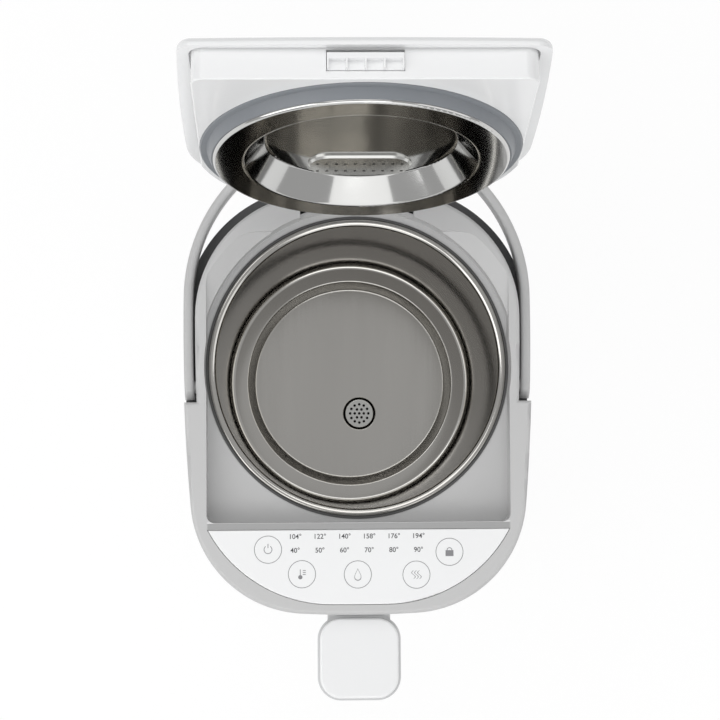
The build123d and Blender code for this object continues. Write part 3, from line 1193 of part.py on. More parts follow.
HOUSING = (outer_shell, handle_channel, collar, control_panel, control_board, control_board_screws, inner_pot,
           pot_seal, pot_strainer, heater_plate, heat_shield, shield_studs, thermostat, thermistor,
           insulation_sleeve, pump_motor, pump_housing, pump_lid, impeller, motor_shaft, inlet_sleeve,
           outlet_hose, sight_tube, spout_hose, water_window, spout_body, spout_cover, outlet_nozzle,
           power_board, power_board_screws, transformer, power_inlet, inlet_pins, base_plate, base_feet,
           base_screws, handle, handle_pivots, hinge_pin)
LID = (lid_cover, lid_frame, lid_gasket, inner_lid, vent_strainer, steam_duct, steam_grille, latch_bar,
       latch_spring, release_button)

os.makedirs("parts", exist_ok=True)
for make in HOUSING:
    export_step(make(), "parts/" + make.__name__ + ".step")
for make in LID:
    export_step(opened(make()), "parts/" + make.__name__ + ".step")
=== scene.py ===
from math import cos, pi, radians, sin, tan

import bmesh
import bpy
from mathutils import Matrix, Vector


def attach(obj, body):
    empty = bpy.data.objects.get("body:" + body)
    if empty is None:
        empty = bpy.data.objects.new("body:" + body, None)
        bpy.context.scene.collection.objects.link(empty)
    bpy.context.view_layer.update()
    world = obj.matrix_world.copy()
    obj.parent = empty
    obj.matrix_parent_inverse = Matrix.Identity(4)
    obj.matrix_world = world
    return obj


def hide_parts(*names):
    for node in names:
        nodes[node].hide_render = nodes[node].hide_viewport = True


# Metres, in the part's own frame: Z up from the table, pot axis at X = Y = 0, spout towards -Y
RIM_Z = 0.306
TOP_Z = 0.324
PANEL_TOP = TOP_Z + 0.0002

# Camera of the photograph, found by fitting the measured outlines
IMAGE_SIZE = 720
SENSOR_WIDTH = 36
FOCAL_PIXELS = 1991.03
CAMERA_PLACE = Vector((-0.031153, -0.064458, RIM_Z + 1.224395))
CAMERA_TILT_X = radians(3.223)
CAMERA_TILT_Y = radians(-1.518)
CAMERA_ROLL = radians(-0.374)
CLIP_NEAR = 0.01
CLIP_FAR = 20

# Touch circles on the panel, and the rows of numbers between them
PAD_RADIUS = 0.0084
PAD_LINE = 0.0004
PRINT_RISE = 0.00003
PADS = {"power": (-0.0550, -0.1110), "heat": (-0.0346, -0.1259), "drop": (-0.0009, -0.1263),
        "steam": (0.0345, -0.1267), "lock": (0.0546, -0.1131)}
SCALE_X = (-0.0386, -0.0237, -0.0088, 0.0061, 0.0210, 0.0359)
UPPER_SCALE = ("104", "122", "140", "158", "176", "194")
LOWER_SCALE = ("40", "50", "60", "70", "80", "90")
UPPER_SCALE_Y = -0.1034
LOWER_SCALE_Y = -0.1117
DIGIT_HEIGHT = 0.0029
DIGIT_SHARE = 0.7
DIGIT_WEIGHT = 0.00005

# Symbols in the circles, measured from each circle's middle
SYMBOL_LINE = 0.00045
POWER_RADIUS = 0.0026
POWER_START = 125
POWER_END = 415
POWER_BAR_Y = 0.0022
POWER_BAR = 0.0026
LOCK_BOW_Y = 0.0010
LOCK_BOW_RADIUS = 0.0017
LOCK_Y = -0.0008
LOCK_WIDTH = 0.0048
LOCK_HEIGHT = 0.0036
DROP_RADIUS = 0.0030
DROP_STRETCH = 1.25
DROP_PINCH = 1.6
STEAM_X = (-0.0018, 0, 0.0018)
STEAM_HEIGHT = 0.0050
STEAM_SWING = 0.22
HEAT_X = -0.0010
HEAT_STEM_Y = 0.0012
HEAT_STEM = 0.0034
HEAT_BULB_Y = -0.0018
HEAT_BULB_RADIUS = 0.0013
HEAT_MARK_X = 0.0014
HEAT_MARK_Y = (0.0022, 0.0010, -0.0002)
HEAT_MARK = 0.0018

# The pot, drawn from one sheet: radius and height of its corners, from the rolled rim down the
# inside to the floor, and the bend at each
POT_SHEET = 0.0008
POT_RIM_RADIUS = 0.0920
POT_RADIUS = 0.0870
LEDGE_RADIUS = 0.0738
FLOOR_RADIUS = 0.0682
FLOOR_INNER_RADIUS = 0.0500
POT_LIP = 0.0020
LEDGE_Z = 0.087
POT_FLOOR_Z = 0.081
POT_CORNERS = ((POT_RIM_RADIUS, RIM_Z - POT_LIP), (POT_RIM_RADIUS, RIM_Z), (POT_RADIUS, RIM_Z),
               (POT_RADIUS, LEDGE_Z), (LEDGE_RADIUS, LEDGE_Z), (FLOOR_RADIUS, POT_FLOOR_Z),
               (FLOOR_INNER_RADIUS, POT_FLOOR_Z))
POT_BENDS = (0, 0.0018, 0.0030, 0.0040, 0.0016, 0.0020, 0)

# The well in the pot's floor with its pipe, round its own axis: down inside, and up again outside
WELL = (0.007, -0.022)
WELL_RING_RADIUS = 0.0150
WELL_BORE = 0.0115
WELL_BOTTOM_Z = 0.0768
PIPE_BORE = 0.0060
PIPE_WALL = 0.0020
PIPE_END_Z = 0.0640
WELL_BEND = 0.0005
WELL_CORNERS = ((WELL_RING_RADIUS, POT_FLOOR_Z), (WELL_BORE, POT_FLOOR_Z), (WELL_BORE, WELL_BOTTOM_Z),
                (PIPE_BORE, WELL_BOTTOM_Z), (PIPE_BORE, PIPE_END_Z), (PIPE_BORE + PIPE_WALL, PIPE_END_Z),
                (PIPE_BORE + PIPE_WALL, WELL_BOTTOM_Z - POT_SHEET),
                (WELL_BORE + POT_SHEET, WELL_BOTTOM_Z - POT_SHEET),
                (WELL_BORE + POT_SHEET, POT_FLOOR_Z - POT_SHEET),
                (WELL_RING_RADIUS, POT_FLOOR_Z - POT_SHEET))
WELL_BENDS = (0, 0.0006, WELL_BEND, WELL_BEND, 0, 0, WELL_BEND, WELL_BEND, WELL_BEND, 0)

# The carrying handle: a flat bar that follows the casing and closes in an arc behind
BAR_HALF_WIDTH = 0.10638
BAR_THICKNESS = 0.0058
BAR_HEIGHT = 0.016
BAR_EDGE = 0.0022
BAR_EDGE_MOST = 0.95
BAR_MIDDLE_Z = 0.307
BAR_ARC_Y = 0.042
BAR_END_ANGLES = (86, 72, 58, 44, 30, 15, 0)
ARM_STEPS = 6
ARC_STEPS = 32
EDGE_STEPS = 4
SIDE_RADIUS = 1.290
WIDEST_Y = 0.025
PIVOT_Y = -0.012
PIVOT_BORE = 0.0042
PIVOT_HEAD_BORE = 0.0063
PIVOT_HEAD_X = 0.1040
PIVOT_SEGMENTS = 48
CUTTER_OVERSHOOT = 0.002

# Meshes: steps round a ring, and the angle from which an edge is sharp
RING_STEPS = 160
SHARP_ANGLE = radians(30)
MERGE_DISTANCE = 1e-7

# Places for painted light in the finishes: painted shade inside the well, painted shade on the collar's
# strip behind the panel, and a painted highlight along that strip's rear edge
WELL_SHADE_RADIUS = 0.0125
STRIP_FRONT = -0.0990
STRIP_REAR = -0.0951
STRIP_HALF_WIDTH = 0.0915
STRIP_DEPTH = 0.001
# Width and depth of the painted highlight along the strip's rear edge
EDGE_HIGHLIGHT_WIDTH = 0.0007
EDGE_HIGHLIGHT_DEPTH = 0.002

# Grain that several finishes share: texture scales per metre, and the height of the relief
FLOW_SCALE = 22
MOULD_GRAIN_SCALE = 2600
RUBBER_GRAIN_SCALE = 1800
RELIEF = 0.0001
COAT_ROUGHNESS = 0.04

# Lamps: place, size and power in watts, all aimed at the pot's mouth
LAMP_TARGET = (0, 0, 0.3)
LAMPS = (("left_softbox", (-1.3, -0.5, 1.4), (1.2, 1.4), 8.5),
         ("right_softbox", (1.9, -0.5, 1.5), (1.4, 1.8), 6),
         ("front_softbox", (0, -1.9, 1.6), (2.0, 1.9), 10),
         ("top_softbox", (-0.1, -1.15, 2.4), (1.6, 0.9), 6),
         ("rear_softbox", (-0.2, 1.2, 2.2), (1.8, 1.5), 11))
WORLD_STRENGTH = 0.48

# The white paper floor, which glows a little where the camera or a reflection sees it
FLOOR_HALF_WIDTH = 6.0
FLOOR_COLOUR = (0.86, 0.86, 0.86)
GLOW_STRENGTH = 1.03
GLOW_SHARE = 0.85

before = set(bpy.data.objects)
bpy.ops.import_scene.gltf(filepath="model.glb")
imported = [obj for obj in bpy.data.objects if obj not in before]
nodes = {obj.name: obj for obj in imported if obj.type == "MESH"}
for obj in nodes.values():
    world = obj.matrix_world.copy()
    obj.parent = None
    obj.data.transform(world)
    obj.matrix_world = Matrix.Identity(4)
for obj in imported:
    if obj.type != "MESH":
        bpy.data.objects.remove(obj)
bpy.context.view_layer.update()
scene = bpy.context.scene
scene.view_settings.view_transform = "Standard"


def placed(name, data):
    obj = bpy.data.objects.new(name, data)
    scene.collection.objects.link(obj)
    return obj


def camera():
    data = bpy.data.cameras.new("camera")
    data.sensor_width = SENSOR_WIDTH
    data.lens = FOCAL_PIXELS * data.sensor_width / IMAGE_SIZE
    data.clip_start = CLIP_NEAR
    data.clip_end = CLIP_FAR
    cam = placed("camera", data)
    turn = (Matrix.Rotation(CAMERA_ROLL, 4, "Z") @ Matrix.Rotation(CAMERA_TILT_Y, 4, "Y")
            @ Matrix.Rotation(CAMERA_TILT_X, 4, "X"))
    cam.matrix_world = Matrix.Translation(CAMERA_PLACE) @ turn
    scene.camera = cam


def material(name):
    mat = bpy.data.materials.new(name)
    mat.use_nodes = True
    tree = mat.node_tree
    shader = tree.nodes["Principled BSDF"]
    return mat, tree, shader


def link(tree, a, out, b, into):
    tree.links.new(a.outputs[out], b.inputs[into])


def noise(tree, scale, detail=3.0, stretch=(1, 1, 1)):
    coords = tree.nodes.new("ShaderNodeTexCoord")
    mapping = tree.nodes.new("ShaderNodeMapping")
    mapping.inputs["Scale"].default_value = stretch
    texture = tree.nodes.new("ShaderNodeTexNoise")
    texture.inputs["Scale"].default_value = scale
    texture.inputs["Detail"].default_value = detail
    link(tree, coords, "Object", mapping, "Vector")
    link(tree, mapping, "Vector", texture, "Vector")
    return texture


def ranged(tree, source, out, low, high, low_in=0.3, high_in=0.7):
    node = tree.nodes.new("ShaderNodeMapRange")
    node.inputs["From Min"].default_value = low_in
    node.inputs["From Max"].default_value = high_in
    node.inputs["To Min"].default_value = low
    node.inputs["To Max"].default_value = high
    link(tree, source, out, node, "Value")
    return node


def bump(tree, shader, source, out, strength, distance):
    node = tree.nodes.new("ShaderNodeBump")
    node.inputs["Strength"].default_value = strength
    node.inputs["Distance"].default_value = distance
    link(tree, source, out, node, "Height")
    link(tree, node, "Normal", shader, "Normal")


def tinted(tree, shader, source, out, colour, spread):
    ramp = tree.nodes.new("ShaderNodeMix")
    ramp.data_type = "RGBA"
    ramp.inputs["A"].default_value = [c * (1 - spread) for c in colour] + [1]
    ramp.inputs["B"].default_value = [min(c * (1 + spread), 1) for c in colour] + [1]
    link(tree, source, out, ramp, "Factor")
    link(tree, ramp, "Result", shader, "Base Color")


def slab(tree, axis, low, high, soft):
    """One between two places along an axis of the part's frame, nothing outside them."""
    coords = tree.nodes.new("ShaderNodeTexCoord")
    split = tree.nodes.new("ShaderNodeSeparateXYZ")
    link(tree, coords, "Object", split, "Vector")
    away = tree.nodes.new("ShaderNodeMath")
    away.operation = "SUBTRACT"
    away.inputs[1].default_value = (low + high) / 2
    link(tree, split, axis, away, 0)
    size = tree.nodes.new("ShaderNodeMath")
    size.operation = "ABSOLUTE"
    link(tree, away, "Value", size, 0)
    half = (high - low) / 2
    return ranged(tree, size, "Value", 1, 0, half - soft, half + soft)


def column(tree, place, radius, soft):
    """One inside an upright cylinder, nothing outside it."""
    coords = tree.nodes.new("ShaderNodeTexCoord")
    flat = tree.nodes.new("ShaderNodeVectorMath")
    flat.operation = "MULTIPLY"
    flat.inputs[1].default_value = (1, 1, 0)
    link(tree, coords, "Object", flat, 0)
    gap = tree.nodes.new("ShaderNodeVectorMath")
    gap.operation = "DISTANCE"
    gap.inputs[1].default_value = (place[0], place[1], 0)
    link(tree, flat, "Vector", gap, 0)
    return ranged(tree, gap, "Value", 1, 0, radius - soft, radius + soft)


def combined(tree, operation, a, out_a, b, out_b):
    node = tree.nodes.new("ShaderNodeMath")
    node.operation = operation
    link(tree, a, out_a, node, 0)
    link(tree, b, out_b, node, 1)
    return node


def both(tree, a, b):
    """One where both masks are one."""
    return combined(tree, "MULTIPLY", a, 0, b, 0)


def patched(tree, shader, mask, colour):
    """Another colour where the mask is one."""
    under = shader.inputs["Base Color"].links[0].from_socket
    mix = tree.nodes.new("ShaderNodeMix")
    mix.data_type = "RGBA"
    mix.inputs["B"].default_value = (*colour, 1)
    tree.links.new(under, mix.inputs["A"])
    link(tree, mask, 0, mix, "Factor")
    link(tree, mix, "Result", shader, "Base Color")


def plastic(name, colour, roughness, grain=0.0, coat=0.0, mottle=0.01):
    """Moulded plastic: faint flow mottle, a fine spark-eroded grain where it is matt."""
    mat, tree, shader = material(name)
    flow = noise(tree, FLOW_SCALE, 4)
    tinted(tree, shader, flow, "Fac", colour, mottle)
    fine = noise(tree, MOULD_GRAIN_SCALE, 2)
    spread = ranged(tree, fine, "Fac", roughness * 0.9, min(roughness * 1.12, 1))
    link(tree, spread, "Result", shader, "Roughness")
    shader.inputs["Coat Weight"].default_value = coat
    shader.inputs["Coat Roughness"].default_value = COAT_ROUGHNESS
    if grain:
        bump(tree, shader, fine, "Fac", grain, RELIEF)
    return mat


def steel(name, colour, roughness, stretch, scale=900, depth=0.05, mottle=0.03):
    """Brushed sheet: streaks that run along the short axis of stretch."""
    mat, tree, shader = material(name)
    shader.inputs["Metallic"].default_value = 1
    streaks = noise(tree, scale, 4, stretch)
    broad = noise(tree, 14, 3)
    tinted(tree, shader, broad, "Fac", colour, mottle)
    spread = ranged(tree, streaks, "Fac", roughness * 0.75, roughness * 1.35)
    link(tree, spread, "Result", shader, "Roughness")
    bump(tree, shader, streaks, "Fac", depth, RELIEF)
    return mat


def pot_steel():
    """Steel with a brushed floor and a glossier wall, and painted shade, near black, in the well under the
    strainer.
    """
    mat, tree, shader = material("pot_steel")
    shader.inputs["Metallic"].default_value = 1
    streaks = noise(tree, 700, 3, (1, 0.03, 0.03))
    tinted(tree, shader, noise(tree, 60, 3, (1, 0.1, 0.1)), "Fac", POT_COLOUR, 0.05)
    brushed = ranged(tree, streaks, "Fac", 0.12, 0.17)
    drawn = ranged(tree, noise(tree, 500, 3, (0.02, 0.02, 1)), "Fac", 0.07, 0.11)
    shader.inputs["Specular Tint"].default_value = (*POT_EDGE_TINT, 1)
    finish = tree.nodes.new("ShaderNodeMix")
    link(tree, slab(tree, "Z", 0, POT_FLOOR_Z + 0.0005, 0.0004), "Result", finish, "Factor")
    link(tree, drawn, "Result", finish, "A")
    link(tree, brushed, "Result", finish, "B")
    link(tree, finish, "Result", shader, "Roughness")
    # Painted shade: the steel inside the well under the strainer is coloured near black, as if no light
    # reached it
    well = both(tree, column(tree, WELL, WELL_SHADE_RADIUS, 0.0001),
                slab(tree, "Z", 0, POT_FLOOR_Z - 0.0004, 0.0002))
    patched(tree, shader, well, WELL_SHADE_COLOUR)
    return mat


def top_patch(tree, front, rear, depth, soft):
    """One on the collar's top between two places along Y, nothing elsewhere."""
    across = both(tree, slab(tree, "Y", front, rear, soft),
                  slab(tree, "X", -STRIP_HALF_WIDTH, STRIP_HALF_WIDTH, 0.0005))
    return both(tree, across, slab(tree, "Z", TOP_Z - depth, TOP_Z + 0.001, 0.0002))


def collar_plastic():
    """Satin plastic, with painted shade on the strip behind the panel and a painted highlight along the
    strip's rear edge.
    """
    mat, tree, shader = material("collar_satin_plastic")
    tinted(tree, shader, noise(tree, FLOW_SCALE, 4), "Fac", COLLAR_COLOUR, 0.01)
    fine = noise(tree, MOULD_GRAIN_SCALE, 2)
    link(tree, ranged(tree, fine, "Fac", 0.32, 0.40), "Result", shader, "Roughness")
    bump(tree, shader, fine, "Fac", 0.05, RELIEF)
    # Painted shade: the flat strip behind the panel is coloured darker, as if it sloped away from the light
    patched(tree, shader, top_patch(tree, STRIP_FRONT, STRIP_REAR, STRIP_DEPTH, 0.0002), STRIP_SHADE_COLOUR)
    # Painted highlight: a pale line along the strip's rear edge
    edge_highlight = top_patch(tree, STRIP_REAR, STRIP_REAR + EDGE_HIGHLIGHT_WIDTH, EDGE_HIGHLIGHT_DEPTH, 0.0001)
    patched(tree, shader, edge_highlight, EDGE_HIGHLIGHT_COLOUR)
    return mat


def rubber(name, colour, roughness):
    mat, tree, shader = material(name)
    dust = noise(tree, 60, 5)
    tinted(tree, shader, dust, "Fac", colour, 0.05)
    fine = noise(tree, RUBBER_GRAIN_SCALE, 2)
    link(tree, ranged(tree, fine, "Fac", roughness * 0.85, roughness * 1.1), "Result", shader, "Roughness")
    bump(tree, shader, fine, "Fac", 0.12, RELIEF)
    shader.inputs["Sheen Weight"].default_value = 0.1
    return mat


def clear(name, colour, roughness, ior):
    mat, tree, shader = material(name)
    haze = noise(tree, 40, 3)
    tinted(tree, shader, haze, "Fac", colour, 0.02)
    link(tree, ranged(tree, haze, "Fac", roughness * 0.7, roughness * 1.3), "Result", shader, "Roughness")
    shader.inputs["Transmission Weight"].default_value = 0.9
    shader.inputs["IOR"].default_value = ior
    return mat


# Colours that a patch or two finishes need by name
COLLAR_COLOUR = (0.56, 0.56, 0.56)
# Painted shade for the collar's strip behind the panel
STRIP_SHADE_COLOUR = (0.37, 0.37, 0.37)
# Painted highlight along the rear edge of the collar's strip
EDGE_HIGHLIGHT_COLOUR = (0.80, 0.80, 0.80)
POT_COLOUR = (0.58, 0.567, 0.54)
POT_EDGE_TINT = (0.50, 0.485, 0.47)
# Painted shade for the inside of the well
WELL_SHADE_COLOUR = (0.004, 0.004, 0.004)

WHITE = plastic("white_gloss_plastic", (0.86, 0.865, 0.87), 0.16, coat=0.35)
# Painted shade: the spout body is white plastic coloured mid grey, so its rim around the cover reads as
# shaded
SPOUT_PAINTED_SHADE = plastic("spout_gloss_plastic_painted_shade", (0.64, 0.645, 0.65), 0.2, coat=0.2)
PANEL = plastic("panel_gloss", (0.90, 0.905, 0.91), 0.12, coat=0.5)
COLLAR = collar_plastic()
TRIM = plastic("trim_satin_plastic", COLLAR_COLOUR, 0.36, grain=0.05)
HANDLE = plastic("handle_satin_plastic", (0.54, 0.54, 0.54), 0.34, grain=0.05)
DARK = plastic("dark_matt_plastic", (0.085, 0.085, 0.087), 0.5, grain=0.15)
BASE = plastic("base_matt_plastic", (0.42, 0.42, 0.42), 0.5, grain=0.15)
BLACK = plastic("black_matt_plastic", (0.02, 0.02, 0.02), 0.45, grain=0.1)
CREAM = plastic("natural_plastic", (0.60, 0.58, 0.50), 0.4, grain=0.05)
BOARD = plastic("board_mask", (0.03, 0.13, 0.06), 0.35, mottle=0.12)
FELT = plastic("needled_felt", (0.48, 0.46, 0.42), 0.9, grain=0.8, mottle=0.2)
POT = pot_steel()
PAN = steel("pan_steel", (0.60, 0.60, 0.59), 0.09, (1, 30, 1), scale=300, depth=0.001)
BRIGHT = steel("bright_steel", (0.66, 0.66, 0.64), 0.20, (1, 1, 0.1), scale=300, depth=0.001)
SHEET = steel("galvanised_sheet", (0.45, 0.46, 0.47), 0.35, (1, 12, 1), mottle=0.15)
DULL = steel("oxidised_steel", (0.30, 0.29, 0.28), 0.45, (1, 1, 1), mottle=0.2)
GASKET = rubber("grey_silicone", (0.21, 0.225, 0.245), 0.42)
FOOT = rubber("dark_rubber", (0.025, 0.025, 0.025), 0.6)
# Dark rubber seal whose near-black colour also stands as painted shade for the shaded gap between the collar
# and the pot's rim
SEAL_AND_GAP_SHADE = rubber("seal_rubber", (0.08, 0.08, 0.08), 0.5)
HOSE = rubber("milky_silicone", (0.62, 0.62, 0.60), 0.4)
GLASS = clear("clear_glass", (0.95, 0.97, 0.97), 0.03, 1.47)
WINDOW = clear("smoked_window", (0.55, 0.58, 0.60), 0.06, 1.5)
INK = plastic("grey_ink", (0.07, 0.07, 0.075), 0.5)
PALE_INK = plastic("pale_ink", (0.24, 0.24, 0.25), 0.5)

DRESS = {
    SPOUT_PAINTED_SHADE: ("spout_body",),
    WHITE: ("outer_shell", "spout_cover", "lid_cover", "lid_frame", "steam_duct", "latch_bar"),
    PANEL: ("control_panel",),
    COLLAR: ("collar",),
    TRIM: ("steam_grille", "release_button", "outlet_nozzle", "handle_pivots"),
    HANDLE: ("handle",),
    DARK: ("handle_channel",),
    BASE: ("base_plate",),
    BLACK: ("thermostat", "thermistor", "power_inlet"),
    CREAM: ("pump_housing", "pump_lid", "impeller"),
    BOARD: ("control_board", "power_board"),
    FELT: ("insulation_sleeve",),
    POT: ("inner_pot",),
    PAN: ("inner_lid",),
    BRIGHT: ("pot_strainer", "vent_strainer", "inlet_pins", "hinge_pin", "motor_shaft",
             "control_board_screws", "power_board_screws", "base_screws", "shield_studs", "latch_spring"),
    SHEET: ("heat_shield",),
    DULL: ("heater_plate", "pump_motor", "transformer"),
    GASKET: ("lid_gasket",),
    FOOT: ("base_feet",),
    SEAL_AND_GAP_SHADE: ("pot_seal",),
    HOSE: ("inlet_sleeve", "outlet_hose", "spout_hose"),
    GLASS: ("sight_tube",),
    WINDOW: ("water_window",),
}


def dress():
    for mat, names in DRESS.items():
        for name in names:
            for entry in nodes[name].material_slots:
                entry.material = mat


def bent(corners, bends, steps=8, hold=0.0002):
    """A path with rounded corners: pairs of a point and the direction of travel there."""
    path = []
    for i, (corner, radius) in enumerate(zip(corners, bends)):
        here = Vector(corner)
        before = (here - Vector(corners[i - 1])).normalized() if i else None
        after = (Vector(corners[i + 1]) - here).normalized() if i + 1 < len(corners) else None
        if before is None or after is None:
            path.append((here, after or before))
            continue
        if not radius:
            path += [(here, before), (here, after)]
            continue
        turn = before.angle_signed(after) * -1
        reach = radius * tan(abs(turn) / 2)
        side = 1 if turn > 0 else -1
        centre = here - before * reach + side * radius * Vector((-before.y, before.x))
        spoke = here - before * reach - centre
        path.append((here - before * (reach + hold), before))
        for k in range(steps + 1):
            part = Matrix.Rotation(turn * k / steps, 2)
            path.append((centre + part @ spoke, part @ before))
        path.append((here + after * (reach + hold), after))
    return path


def creased(mesh):
    for edge in mesh.edges:
        edge.smooth = edge.calc_face_angle(0) < SHARP_ANGLE


def finished(name, mesh, mat):
    """An object from a mesh, smooth apart from its true corners."""
    bmesh.ops.recalc_face_normals(mesh, faces=mesh.faces)
    for face in mesh.faces:
        face.smooth = True
    creased(mesh)
    data = bpy.data.meshes.new(name)
    mesh.to_mesh(data)
    mesh.free()
    data.materials.append(mat)
    return placed(name, data)


def bridged(mesh, one, two):
    """Faces between two loops with the same number of corners."""
    for i in range(len(one)):
        j = (i + 1) % len(one)
        mesh.faces.new((one[i], one[j], two[j], two[i]))


def ringed(name, rings, mat):
    """A closed skin through level rings, each with its own centre, radius and height."""
    mesh = bmesh.new()
    turns = [2 * pi * i / RING_STEPS for i in range(RING_STEPS)]
    loops = []
    for (x, y), radius, z in rings:
        loops.append([mesh.verts.new((x + radius * cos(t), y + radius * sin(t), z)) for t in turns])
    for one, two in zip(loops, loops[1:] + loops[:1]):
        bridged(mesh, one, two)
    bmesh.ops.remove_doubles(mesh, verts=mesh.verts, dist=MERGE_DISTANCE)
    return finished(name, mesh, mat)


def bar_section(half_height):
    """Outline of the bar's section: outwards and up from its middle."""
    edge = min(BAR_EDGE, half_height * BAR_EDGE_MOST)
    points = []
    for corner in range(4):
        side = 1 if corner in (0, 3) else -1
        rise = 1 if corner < 2 else -1
        for k in range(EDGE_STEPS + 1):
            turn = pi / 2 * (corner + k / EDGE_STEPS)
            points.append((side * (BAR_THICKNESS / 2 - edge) + edge * cos(turn),
                           rise * (half_height - edge) + edge * sin(turn)))
    return points


def bar_stations():
    """Along the right arm and the arc to the middle: place, outward direction, half height."""
    stations = []
    for t in BAR_END_ANGLES:
        stations.append((PIVOT_Y - BAR_HEIGHT / 2 * sin(radians(t)), BAR_HEIGHT / 2 * cos(radians(t))))
    for k in range(1, ARM_STEPS):
        stations.append((PIVOT_Y + (BAR_ARC_Y - PIVOT_Y) * k / ARM_STEPS, BAR_HEIGHT / 2))
    arm = []
    for y, half_height in stations:
        outer = BAR_HALF_WIDTH - (y - WIDEST_Y) ** 2 / (2 * SIDE_RADIUS)
        out = Vector((1, (y - WIDEST_Y) / SIDE_RADIUS)).normalized()
        arm.append((Vector((outer, y)) - out * BAR_THICKNESS / 2, out, half_height))
    radius = BAR_HALF_WIDTH - (BAR_ARC_Y - WIDEST_Y) ** 2 / (2 * SIDE_RADIUS) - BAR_THICKNESS / 2
    for k in range(ARC_STEPS + 1):
        out = Vector((cos(pi / 2 * k / ARC_STEPS), sin(pi / 2 * k / ARC_STEPS)))
        arm.append((Vector((0, BAR_ARC_Y)) + out * radius, out, BAR_HEIGHT / 2))
    return arm


def rod_across(radius, start, end):
    """A cutter along X on the pivots' axis."""
    mesh = bmesh.new()
    middle = Matrix.Translation(((start + end) / 2, PIVOT_Y, BAR_MIDDLE_Z)) @ Matrix.Rotation(pi / 2, 4, "Y")
    bmesh.ops.create_cone(mesh, cap_ends=True, segments=PIVOT_SEGMENTS, radius1=radius, radius2=radius,
                          depth=abs(end - start), matrix=middle)
    return finished("pivot_cutter", mesh, HANDLE)


def bored(bar, cutters):
    """Takes the cutters out of the bar and removes them."""
    for cutter in cutters:
        bore = bar.modifiers.new("bore", "BOOLEAN")
        bore.operation = "DIFFERENCE"
        bore.solver = "EXACT"
        bore.object = cutter
    shaped = bpy.data.meshes.new_from_object(bar.evaluated_get(bpy.context.evaluated_depsgraph_get()))
    bar.modifiers.clear()
    bar.data = shaped
    for cutter in cutters:
        bpy.data.objects.remove(cutter)
    mesh = bmesh.new()
    mesh.from_mesh(shaped)
    creased(mesh)
    mesh.to_mesh(shaped)
    mesh.free()


def carrying_handle():
    """The bar from end to end, bored at both ends for its pivots and their heads."""
    half = bar_stations()
    whole = half + [(Vector((-place.x, place.y)), Vector((-out.x, out.y)), high)
                    for place, out, high in reversed(half[:-1])]
    mesh = bmesh.new()
    loops = []
    for place, out, high in whole:
        loops.append([mesh.verts.new((place.x + out.x * u, place.y + out.y * u, BAR_MIDDLE_Z + v))
                      for u, v in bar_section(high)])
    for one, two in zip(loops, loops[1:]):
        bridged(mesh, one, two)
    mesh.faces.new(loops[0])
    mesh.faces.new(loops[-1])
    bar = finished("carrying_handle", mesh, HANDLE)
    inner = BAR_HALF_WIDTH - 2 * BAR_THICKNESS
    outer = BAR_HALF_WIDTH + CUTTER_OVERSHOOT
    cutters = []
    for side in (1, -1):
        cutters.append(rod_across(PIVOT_BORE, side * inner, side * outer))
        cutters.append(rod_across(PIVOT_HEAD_BORE, side * PIVOT_HEAD_X, side * outer))
    bored(bar, cutters)
    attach(bar, "handle")
    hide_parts("handle")


def drawn_pot():
    """Down the inside of the pot, through the well and its pipe, and back up outside."""
    inside = bent(POT_CORNERS, POT_BENDS)
    axis = (0, 0)
    rings = [(axis, point.x, point.y) for point, _ in inside]
    well = bent(WELL_CORNERS, WELL_BENDS, steps=4)
    rings += [(WELL, point.x, point.y) for point, _ in well]
    rings += [(axis, point.x - POT_SHEET * way.y, point.y + POT_SHEET * way.x)
              for point, way in reversed(inside)]
    pot = ringed("drawn_pot", rings, POT)
    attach(pot, "housing")
    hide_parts("inner_pot")


class Print:
    """Flat printed shapes on the panel, gathered in one thin mesh."""

    def __init__(self, z):
        self.mesh = bmesh.new()
        self.z = z

    def face(self, points):
        self.mesh.faces.new([self.mesh.verts.new((x, y, self.z)) for x, y in points])

    def band(self, centre, inner, outer, start=0.0, end=360.0, steps=72):
        cx, cy = centre
        angles = [radians(start + (end - start) * i / steps) for i in range(steps + 1)]
        for a, b in zip(angles, angles[1:]):
            around = ((inner, a), (outer, a), (outer, b), (inner, b))
            self.face([(cx + r * cos(t), cy + r * sin(t)) for r, t in around])

    def bar(self, centre, x, y, width, height):
        cx, cy = centre[0] + x, centre[1] + y
        self.face([(cx - width / 2, cy - height / 2), (cx + width / 2, cy - height / 2),
                   (cx + width / 2, cy + height / 2), (cx - width / 2, cy + height / 2)])

    def drop(self, centre, size, line, steps=48):
        """Outline of a water drop: a pointed top on a round bottom."""
        def edge(r):
            points = []
            for i in range(steps + 1):
                t = 2 * pi * i / steps
                pinch = sin(t / 2) ** DROP_PINCH
                points.append((centre[0] + r * sin(t) * pinch, centre[1] + r * DROP_STRETCH * cos(t)))
            return points
        outer = edge(size)
        inner = edge(size - line)
        for i in range(steps):
            self.face([inner[i], outer[i], outer[i + 1], inner[i + 1]])

    def wave(self, centre, x, size, line, steps=24):
        """An upright line that swings once to each side."""
        points = []
        for i in range(steps + 1):
            t = i / steps
            points.append((centre[0] + x + size * STEAM_SWING * sin(2 * pi * t),
                           centre[1] + size * (t - 0.5)))
        for a, b in zip(points, points[1:]):
            self.face([(a[0] - line / 2, a[1]), (a[0] + line / 2, a[1]), (b[0] + line / 2, b[1]),
                       (b[0] - line / 2, b[1])])

    def piece(self, name, mat, body):
        bmesh.ops.remove_doubles(self.mesh, verts=self.mesh.verts, dist=MERGE_DISTANCE)
        bmesh.ops.recalc_face_normals(self.mesh, faces=self.mesh.faces)
        top = [f for f in self.mesh.faces if f.normal.z < 0]
        bmesh.ops.reverse_faces(self.mesh, faces=top)
        data = bpy.data.meshes.new(name)
        self.mesh.to_mesh(data)
        self.mesh.free()
        data.materials.append(mat)
        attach(placed(name, data), body)


